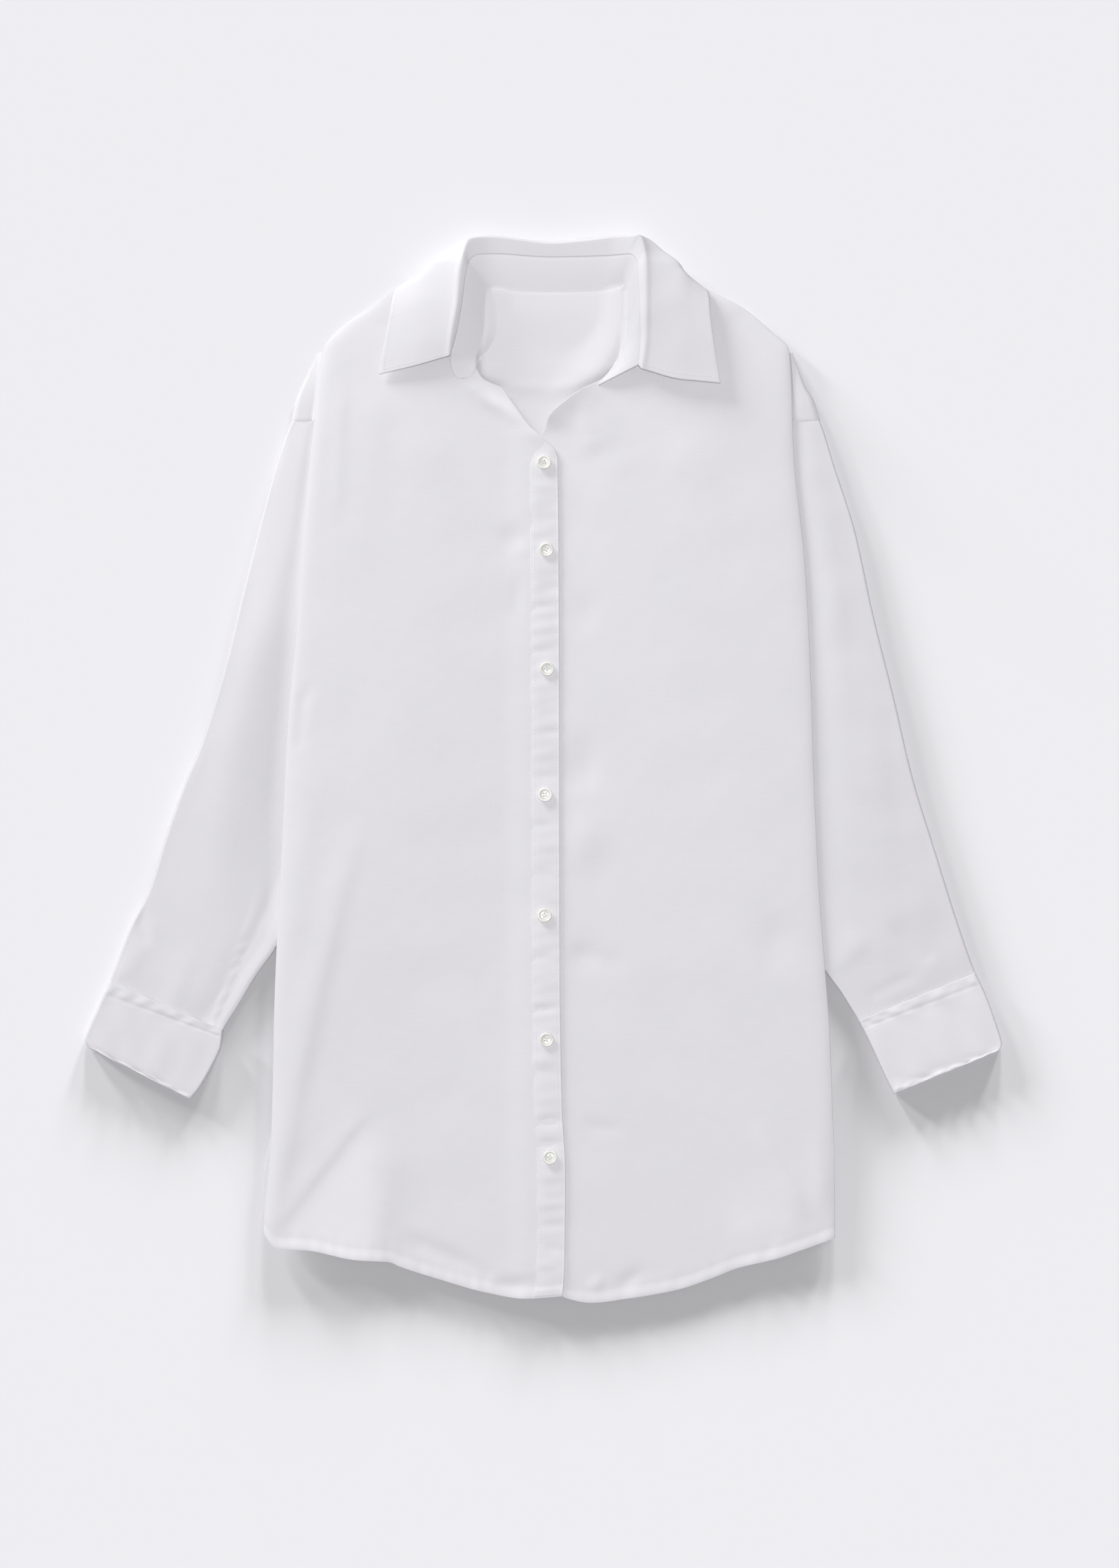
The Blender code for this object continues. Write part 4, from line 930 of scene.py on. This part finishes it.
def cuff(name, table, seed, painted_light, material):
    """A cuff pressed flat, puckered along its seam and its end."""
    values, place_along, turn = rings_of(table, CUFF_RINGS, CUFF_AROUND)
    x, y, z, across, edge, upper = ring_points(
        values[..., 0:2], values[..., 2:4], turn, lambda across: values[..., 4] + 0.0 * across)
    down, width = place_along * CUFF_LENGTH, across * CUFF_WIDTH
    seam_band, end_band = hill(down - SEAM_BAND, BAND_REACH), hill(down - END_BAND, BAND_REACH)
    size, slant, squeeze = QUILT_WAVES
    quilt = waves(width + slant * down, squeeze * down, size, seed + 3)
    part, length, slant = QUILT_FOLDS
    sway, size = QUILT_SWAY
    quilt = quilt + part * np.sin(2.0 * math.pi * (width + slant * down) / length
                                  + sway * waves(width, down, size, seed))
    detail = (QUILT * quilt + BAND_RAISED[0]) * seam_band
    height, size = END_PUCKER
    detail = detail + (height * waves(width, down, size, seed + 1) + BAND_RAISED[1]) * end_band
    height, size = CUFF_UNEVEN
    detail = detail + height * waves(width, down, size, seed + 2)
    depth, middle, reach = CUFF_GROOVE
    detail = detail - depth * hill(down - middle, reach)
    z = z + np.where(upper, detail * ramp(edge / CUFF_EDGE_EASE), 0.0)
    # painted light and shade over the whole cuff: shade on the left one, light on the right one;
    # the bands at its seam and end are lighter
    light = painted_light + END_TONE * end_band + SEAM_TONE * seam_band
    return tube(name, table, turn, down, CUFF_GRAIN, CUFF_SHELL, light, x, y, z, material)


# ---- collar
def stand_points(stations, shares):
    """Points of the stand: a foot on the back, then the wall up to the leaf's first row."""
    values = along(STAND, stations)
    seam, top = values[:, 0:3], values[:, 3:6]
    leaf_start = along(LEAF, at(LEAF_AT_STAND, stations))[:, 0:3]
    top = mix(top, leaf_start, grown(stations, *STAND_SEWN)[:, None])
    run = np.gradient(seam[:, :2], axis=0)
    inward = np.stack([run[:, 1], -run[:, 0]], axis=1)
    inward = inward / np.linalg.norm(inward, axis=1, keepdims=True)
    length = at(STAND_FOOT, stations)
    foot = seam.copy()
    foot[:, :2] += inward * length[:, None]
    laid = ramp(length / FOOT_LAID)
    points = []
    for share in shares:
        if share < STAND_TURN:
            t = share / STAND_TURN
            point = mix(foot, seam, t)
            over = back_height(point[:, 0], point[:, 1]) + SHELL - FOOT_SUNK
            end = back_height(seam[:, 0], seam[:, 1]) + SHELL - FOOT_SUNK
            point[:, 2] = mix(seam[:, 2], over + (seam[:, 2] - end) * t * t, laid)
        else:
            t = (share - STAND_TURN) / (1.0 - STAND_TURN) * STAND_PAST
            point = mix(seam, top, t)
            point[:, 2] += (STAND_BOW * math.sin(math.pi * min(t, 1.0))
                            - STAND_TOP_DROP * grown(t, *STAND_TOP_FROM))
        points.append(point)
    return np.stack(points)


def collar_piece(name, points, stations, shares, length, width, light, material):
    flat = np.stack(np.meshgrid(stations * length, shares * width), axis=-1)
    return cloth_piece(name, points, flat, material, COLLAR_SHELL, offset=0.0,
                       layers_and_painted_light=light[None, :])


def stand(material):
    stations, shares = np.linspace(0.0, 1.0, STAND_STATIONS), np.linspace(0.0, 1.0, STAND_ROWS)
    # painted light and shade along the stand, from its table
    return collar_piece("collar_stand", stand_points(stations, shares), stations, shares,
                        *COLLAR_GRAIN[:2], at(STAND_PAINTED_LIGHT, stations), material)


def turned_under(belly, edge):
    """The point between belly and edge, further in where the leaf is tucked behind the neck."""
    tucked = 1.0 - float(grown(edge[2], *TUCKED_FROM))
    share, drop = (mix(open_part, tucked_part, tucked) for open_part, tucked_part in TURNED)
    return (mix(belly[0], edge[0], share), mix(belly[1], edge[1], share),
            mix(belly[2], edge[2], drop))


def leaf_points(stations, shares):
    """Points of the leaf: from the stand over the roll, down to the points in front."""
    columns = []
    for values in along(LEAF, stations):
        stops = [tuple(values[3 * k:3 * k + 3]) for k in range(4)]
        stops.insert(3, turned_under(stops[2], stops[3]))
        stops.insert(2, tuple(mix(np.array(stops[1]), np.array(stops[2]), PAST_ROLL)
                              - np.array((0.0, 0.0, ROLL_DROP))))
        keyed = [(0.0,) + stops[0]]
        for before, after in zip(stops, stops[1:]):
            keyed.append((keyed[-1][0] + math.dist(before, after),) + after)
        columns.append(along(keyed, keyed[-1][0] * shares))
    return np.stack(columns, axis=1)


def leaf(material):
    stations = np.linspace(0.0, 1.0, LEAF_STATIONS)
    shares = np.linspace(0.0, 1.0, LEAF_ROWS) ** LEAF_ROW_POWER
    # painted shade on its right part
    return collar_piece("collar_leaf", leaf_points(stations, shares), stations, shares,
                        *COLLAR_GRAIN[2:], LEAF_PAINTED_SHADE * grown(stations, *LEAF_PAINTED_SHADE_FROM),
                        material)


# ---- buttons
def button_mesh(material):
    """A turned button: rim, dish, four holes, as one lathe grid with the holes cut."""
    turns = 2.0 * math.pi * np.arange(BUTTON_AROUND) / BUTTON_AROUND
    radii = np.array([row[0] for row in BUTTON_PROFILE])[:, None] * BUTTON_RADIUS
    heights = np.array([row[1] for row in BUTTON_PROFILE])[:, None] * BUTTON_HEIGHT
    points = np.stack([radii * np.cos(turns), radii * np.sin(turns),
                       np.broadcast_to(heights, (len(heights), len(turns)))], axis=-1)
    faces = grid_faces(len(heights), len(turns), closed=True).reshape(-1, 4)
    obj = make_mesh("button_blank", points.reshape(-1, 3), faces)
    obj.modifiers.new("weld", "WELD").merge_threshold = WELDED
    cutters = []
    for k in range(HOLES):
        angle = (2.0 * k + 1.0) * math.pi / HOLES
        bpy.ops.mesh.primitive_cylinder_add(
            vertices=HOLE_AROUND, radius=HOLE_RADIUS, depth=2.0 * BUTTON_RADIUS,
            location=(HOLE_PLACE * math.cos(angle), HOLE_PLACE * math.sin(angle), 0.0))
        cutters.append(bpy.context.object)
        cut = obj.modifiers.new(f"hole_{k}", "BOOLEAN")
        cut.operation = "DIFFERENCE"
        cut.solver = "EXACT"
        cut.object = cutters[-1]
    depsgraph = bpy.context.evaluated_depsgraph_get()
    mesh = bpy.data.meshes.new_from_object(obj.evaluated_get(depsgraph))
    for old in cutters + [obj]:
        bpy.data.objects.remove(old, do_unlink=True)
    mesh.materials.clear()
    mesh.materials.append(material)
    return mesh


def buttons(material, thread):
    mesh = button_mesh(material)
    steps = (-BUTTON_RADIUS, 0.0, BUTTON_RADIUS)
    for number, (x, y, turn, lean_x, lean_y) in enumerate(BUTTONS, start=1):
        under_x = np.array([x + i for i in steps for _ in steps])
        under_y = np.array([y + j for _ in steps for j in steps])
        seat = float(top_front_height(under_x, under_y).max()) + 2.0 * SHELL + BUTTON_GAP
        obj = put(f"button_{number}_turned", mesh.copy(), (x, y, seat),
                  (-lean_y, lean_x, math.radians(turn)))
        obj.data.shade_smooth()
        bpy.context.view_layer.update()
        place(obj, name=f"button_{number}")
        stitch_cross(number, obj, thread)


def stitch_cross(number, button, material):
    """The sewing thread over a button's holes, two short parallel runs."""
    level = BUTTON_HEIGHT * THREAD_LEVEL
    sides = [offset + strand for offset in (-THREAD_HALF, THREAD_HALF)
             for strand in (-STRAND, STRAND)]
    starts, ends = (np.array([(end, side, level) for side in sides])
                    for end in (-THREAD_HALF, THREAD_HALF))
    points, faces = bars(starts, ends, np.tile((0.0, 0.0, 1.0), (len(sides), 1)),
                         THREAD_HALF_WIDTH, STITCH_HEIGHT)
    obj = make_mesh(f"button_{number}_thread", points, faces)
    obj.matrix_world = button.matrix_world.copy()
    bpy.context.view_layer.update()
    place(obj, material)


# ---- stitches
def bars(starts, ends, normals, half_width, height):
    """Small raised lozenges from starts to ends, on a surface with these normals."""
    run = ends - starts
    run = run / np.linalg.norm(run, axis=1, keepdims=True)
    side = np.cross(normals, run)
    side = side / np.linalg.norm(side, axis=1, keepdims=True) * half_width
    middle = 0.5 * (starts + ends)
    quarter = STITCH_FULL * (ends - starts)
    ring = [starts, middle - quarter + side, middle + quarter + side,
            ends, middle + quarter - side, middle - quarter - side]
    top = [middle - quarter + normals * height, middle + quarter + normals * height]
    points = np.stack(ring + top, axis=1)
    faces = np.array(((0, 5, 6), (5, 4, 7), (5, 7, 6), (4, 3, 7), (3, 2, 7), (2, 1, 6),
                      (2, 6, 7), (1, 0, 6)))
    faces = faces[None] + 8 * np.arange(len(starts))[:, None, None]
    return points.reshape(-1, 3), faces.reshape(-1, 3)


def stitches(name, lines, material):
    """Rows of stitches along polylines of surface points with their normals."""
    starts, ends, ups = [], [], []
    for points, normals in lines:
        steps = np.linalg.norm(np.diff(points, axis=0), axis=1)
        path = np.concatenate([[0.0], np.cumsum(steps)])
        begin = np.arange(0.0, path[-1] - STITCH_PITCH, STITCH_PITCH)
        for found, along_path, values in ((starts, begin, points),
                                          (ends, begin + STITCH_LENGTH, points),
                                          (ups, begin, normals)):
            found.append(np.stack([np.interp(along_path, path, values[:, k])
                                   for k in range(3)], 1))
    ups = np.concatenate(ups)
    ups = ups / np.linalg.norm(ups, axis=1, keepdims=True)
    points, faces = bars(np.concatenate(starts), np.concatenate(ends), ups,
                         STITCH_HALF_WIDTH, STITCH_HEIGHT)
    obj = make_mesh(name, points, faces)
    place(obj, material)
    return obj


def surface_lines(grid, rows=(), columns=(), lift=0.0):
    """Rows and columns of a point grid as polylines with normals, lifted along them."""
    normals = np.cross(np.gradient(grid, axis=1), np.gradient(grid, axis=0))
    normals = normals / np.maximum(np.linalg.norm(normals, axis=-1, keepdims=True), 1e-12)
    raised = grid + normals * lift
    return ([(raised[r], normals[r]) for r in rows]
            + [(raised[:, c], normals[:, c]) for c in columns])


# ---- materials
def add(tree, kind, values=(), links=(), **settings):
    """A shader node with its settings, the values of its inputs and what they link to."""
    node = tree.nodes.new("ShaderNode" + kind)
    for key, value in settings.items():
        setattr(node, key, value)
    feed(tree, node, values, links)
    return node


def feed(tree, node, values=(), links=()):
    for key, value in dict(values).items():
        node.inputs[key].default_value = value
    for key, socket in dict(links).items():
        tree.links.new(socket, node.inputs[key])


def nodes_of(name):
    material = bpy.data.materials.new(name)
    material.use_nodes = True
    tree = material.node_tree
    return material, tree, tree.nodes["Principled BSDF"]


def two_tones(tree, factor, low, high, start, end):
    node = add(tree, "ValToRGB", links={"Fac": factor})
    for element, position, colour in zip(node.color_ramp.elements, (start, end), (low, high)):
        element.position = position
        element.color = tuple(colour) + (1.0,)
    return node.outputs["Color"]


def linen_material(name, colour):
    """White linen: uneven threads both ways as relief, slubs, faint mottling and sheen."""
    material, tree, shader = nodes_of(name)
    grain = add(tree, "Attribute", attribute_name="grain")

    def thread_noise(scale, detail):
        mapping = add(tree, "Mapping", {"Scale": scale}, {"Vector": grain.outputs["Vector"]})
        return add(tree, "TexNoise", {"Scale": 1.0, "Detail": detail},
                   {"Vector": mapping.outputs["Vector"]}).outputs["Fac"]

    def plus(a, b):
        return add(tree, "Math", links={0: a, 1: b}, operation="ADD").outputs["Value"]

    def times(a, number):
        return add(tree, "Math", {1: number}, {0: a}, operation="MULTIPLY").outputs["Value"]

    warp = thread_noise((1900.0, 160.0, 1.0), 1.0)
    weft = thread_noise((160.0, 1900.0, 1.0), 1.0)
    slub_up = thread_noise((700.0, 34.0, 1.0), 2.0)
    slub_across = thread_noise((34.0, 700.0, 1.0), 2.0)
    mottle = thread_noise((22.0, 22.0, 22.0), 3.0)
    slubs = plus(slub_up, slub_across)
    relief = plus(times(plus(warp, weft), 0.5), times(slubs, 0.8))
    bump = add(tree, "Bump", {"Strength": 0.35, "Distance": 0.00016}, {"Height": relief})
    tone = plus(times(mottle, 0.5), times(slubs, 0.25))
    mottled = two_tones(tree, tone, [c * k for c, k in zip(colour, LINEN_LOW)],
                        [c * k for c, k in zip(colour, LINEN_HIGH)], 0.30, 0.70)
    # the attribute lightens where the cloth lies double, and carries painted light and, below 0,
    # painted shade
    layers_and_painted_light = add(tree, "Attribute", attribute_name="layers_and_painted_light")
    denser_and_painted_light = add(tree, "Mix", data_type="RGBA", clamp_factor=False)
    feed(tree, denser_and_painted_light, {"B": tuple(min(1.0, c * DENSER_AND_PAINTED_LIGHT) for c in colour) + (1.0,)},
         {"Factor": layers_and_painted_light.outputs["Fac"], "A": mottled})
    rough = add(tree, "Math", {0: 0.82}, {1: times(slub_up, 0.12)}, operation="ADD")
    feed(tree, shader, {"Specular IOR Level": 0.25, "Sheen Weight": 0.03,
                        "Sheen Roughness": 0.45},
         {"Base Color": denser_and_painted_light.outputs["Result"], "Roughness": rough.outputs["Value"],
          "Normal": bump.outputs["Normal"]})
    return material


def cloudy_material(name, noise, low, high, ends, surface, relief=None):
    """Cloudy patches of two close tones, with a fine relief if it is given."""
    material, tree, shader = nodes_of(name)
    spot = add(tree, "TexCoord").outputs["Object"]
    clouds = add(tree, "TexNoise", noise, {"Vector": spot}).outputs["Fac"]
    feed(tree, shader, surface, {"Base Color": two_tones(tree, clouds, low, high, *ends)})
    if relief:
        bump = add(tree, "Bump", relief, {"Height": clouds})
        feed(tree, shader, links={"Normal": bump.outputs["Normal"]})
    return material


# ---- studio
def lamps(floor):
    """A sun from above, low suns for the floor alone and a near lamp for the garment alone."""
    lit = bpy.data.collections.new("floor_light")
    lit.objects.link(floor)
    unlit = bpy.data.collections.new("garment_light")
    unlit.objects.link(floor)
    unlit.collection_objects[0].light_linking.link_state = "EXCLUDE"
    # row: name, light that it gives a level surface, height over the horizon, turn from
    # +Y towards -X, softness, what it lights
    suns = [("front", FRONT, 90.0, 0.0, FRONT_SOFT, None)]
    suns += [(f"floor_{k}", FLOOR / len(FLOOR_TURNS), FLOOR_ELEVATION, turn, FLOOR_SOFT, lit)
             for k, turn in enumerate(FLOOR_TURNS)]
    for name, level, elevation, turn, softness, receivers in suns:
        light = bpy.data.lights.new(name, "SUN")
        light.energy = level * math.pi / math.sin(math.radians(elevation))
        light.angle = math.radians(softness)
        obj = put(name, light, turns=(math.radians(elevation - 90.0), 0.0, math.radians(turn)))
        if receivers:
            obj.light_linking.receiver_collection = receivers
    elevation, turn = math.radians(NEAR_ELEVATION), math.radians(NEAR_TURN)
    lamp = bpy.data.lights.new("near", "AREA")
    lamp.shape = "DISK"
    lamp.size = NEAR_SIZE
    lamp.color = NEAR_COLOUR
    lamp.energy = NEAR * math.pi ** 2 * NEAR_AWAY ** 2 / math.sin(elevation)
    level_away = NEAR_AWAY * math.cos(elevation)
    near = put("near", lamp, (-level_away * math.sin(turn), level_away * math.cos(turn),
                              NEAR_AWAY * math.sin(elevation)),
               (elevation - 0.5 * math.pi, 0.0, turn))
    near.light_linking.receiver_collection = unlit


def studio():
    """Pale floor, soft light from above and the upper left, camera straight above."""
    corners = ((-1.0, -1.0), (1.0, -1.0), (1.0, 1.0), (-1.0, 1.0))
    floor = make_mesh("floor", np.array([(FLOOR_HALF * x, FLOOR_HALF * y, FLOOR_LEVEL)
                                         for x, y in corners]), np.array([(0, 1, 2, 3)]))
    material, tree, shader = nodes_of("pale_floor")
    feed(tree, shader, {"Base Color": FLOOR_COLOUR + (1.0,), "Roughness": 1.0,
                        "Specular IOR Level": 0.0})
    floor.data.materials.append(material)
    lamps(floor)

    scene = bpy.context.scene
    world = bpy.data.worlds.new("studio")
    world.use_nodes = True
    feed(world.node_tree, world.node_tree.nodes["Background"],
         {"Color": (1.0, 1.0, 1.0, 1.0), "Strength": FILL})
    scene.world = world
    camera = bpy.data.cameras.new("camera")
    camera.sensor_fit = "VERTICAL"
    camera.sensor_height = SENSOR
    camera.lens = SENSOR * CAMERA_AT[2] / VIEW_HEIGHT
    scene.camera = put("camera", camera, CAMERA_AT)
    scene.view_settings.view_transform = "Standard"


# ---- assembly
def main():
    studio()
    linen = linen_material("linen_body", LINEN)
    thread = cloudy_material("sewing_thread", {"Scale": 2500.0}, (0.74, 0.73, 0.75),
                             (0.86, 0.85, 0.87), (0.0, 1.0), {"Roughness": 0.6})
    shell = cloudy_material(
        "ivory_shell", {"Scale": 320.0, "Detail": 3.0, "Distortion": 1.2}, (0.76, 0.755, 0.71),
        (0.88, 0.88, 0.85), (0.35, 0.68),
        {"Roughness": 0.28, "Coat Weight": 0.35, "Coat Roughness": 0.12},
        {"Strength": 0.15, "Distance": 0.0001})
    pieces = [
        back(linen),
        front("front_left", LEFT_SIDE, LEFT_DROP, TOP_FRONT_EDGE, LEFT_HEM, top_front_height,
              31, 0.0, linen),
        front("front_right", RIGHT_SIDE, RIGHT_DROP, UNDER_FRONT_EDGE, RIGHT_HEM, front_height,
              41, RIGHT_DROP_PAINTED_SHADE, linen),
        button_band(linen),
        sleeve("sleeve_left", LEFT_SLEEVE, 51, True, linen),
        sleeve("sleeve_right", RIGHT_SLEEVE, 61, False, linen),
        # the left cuff is painted darker as shade, the right one lighter as light
        cuff("cuff_left", LEFT_CUFF, 71, -0.16, linen),
        cuff("cuff_right", RIGHT_CUFF, 81, 0.34, linen),
        stand(linen),
        leaf(linen),
    ]
    buttons(shell, thread)

    stations, rows = (np.linspace(0.0, 1.0, count) for count in LEAF_GRID)
    leaf_grid = leaf_points(stations, rows)
    leaf_lines = []
    for first, last, end in LEAF_ENDS:
        leaf_lines += surface_lines(leaf_grid[:, first:last], rows=(LEAF_EDGE_ROW,),
                                    columns=(end,), lift=0.5 * COLLAR_SHELL)
    *levels, columns = BAND_GRID
    band_grid = band_points(stretch(*levels), np.linspace(0.0, 1.0, columns))
    band_lines = surface_lines(band_grid, columns=BAND_STITCHED, lift=SHELL)
    sewn = {"collar_leaf": stitches("collar_leaf_stitches", leaf_lines, thread),
            "button_band": stitches("button_band_stitches", band_lines, thread)}


main()
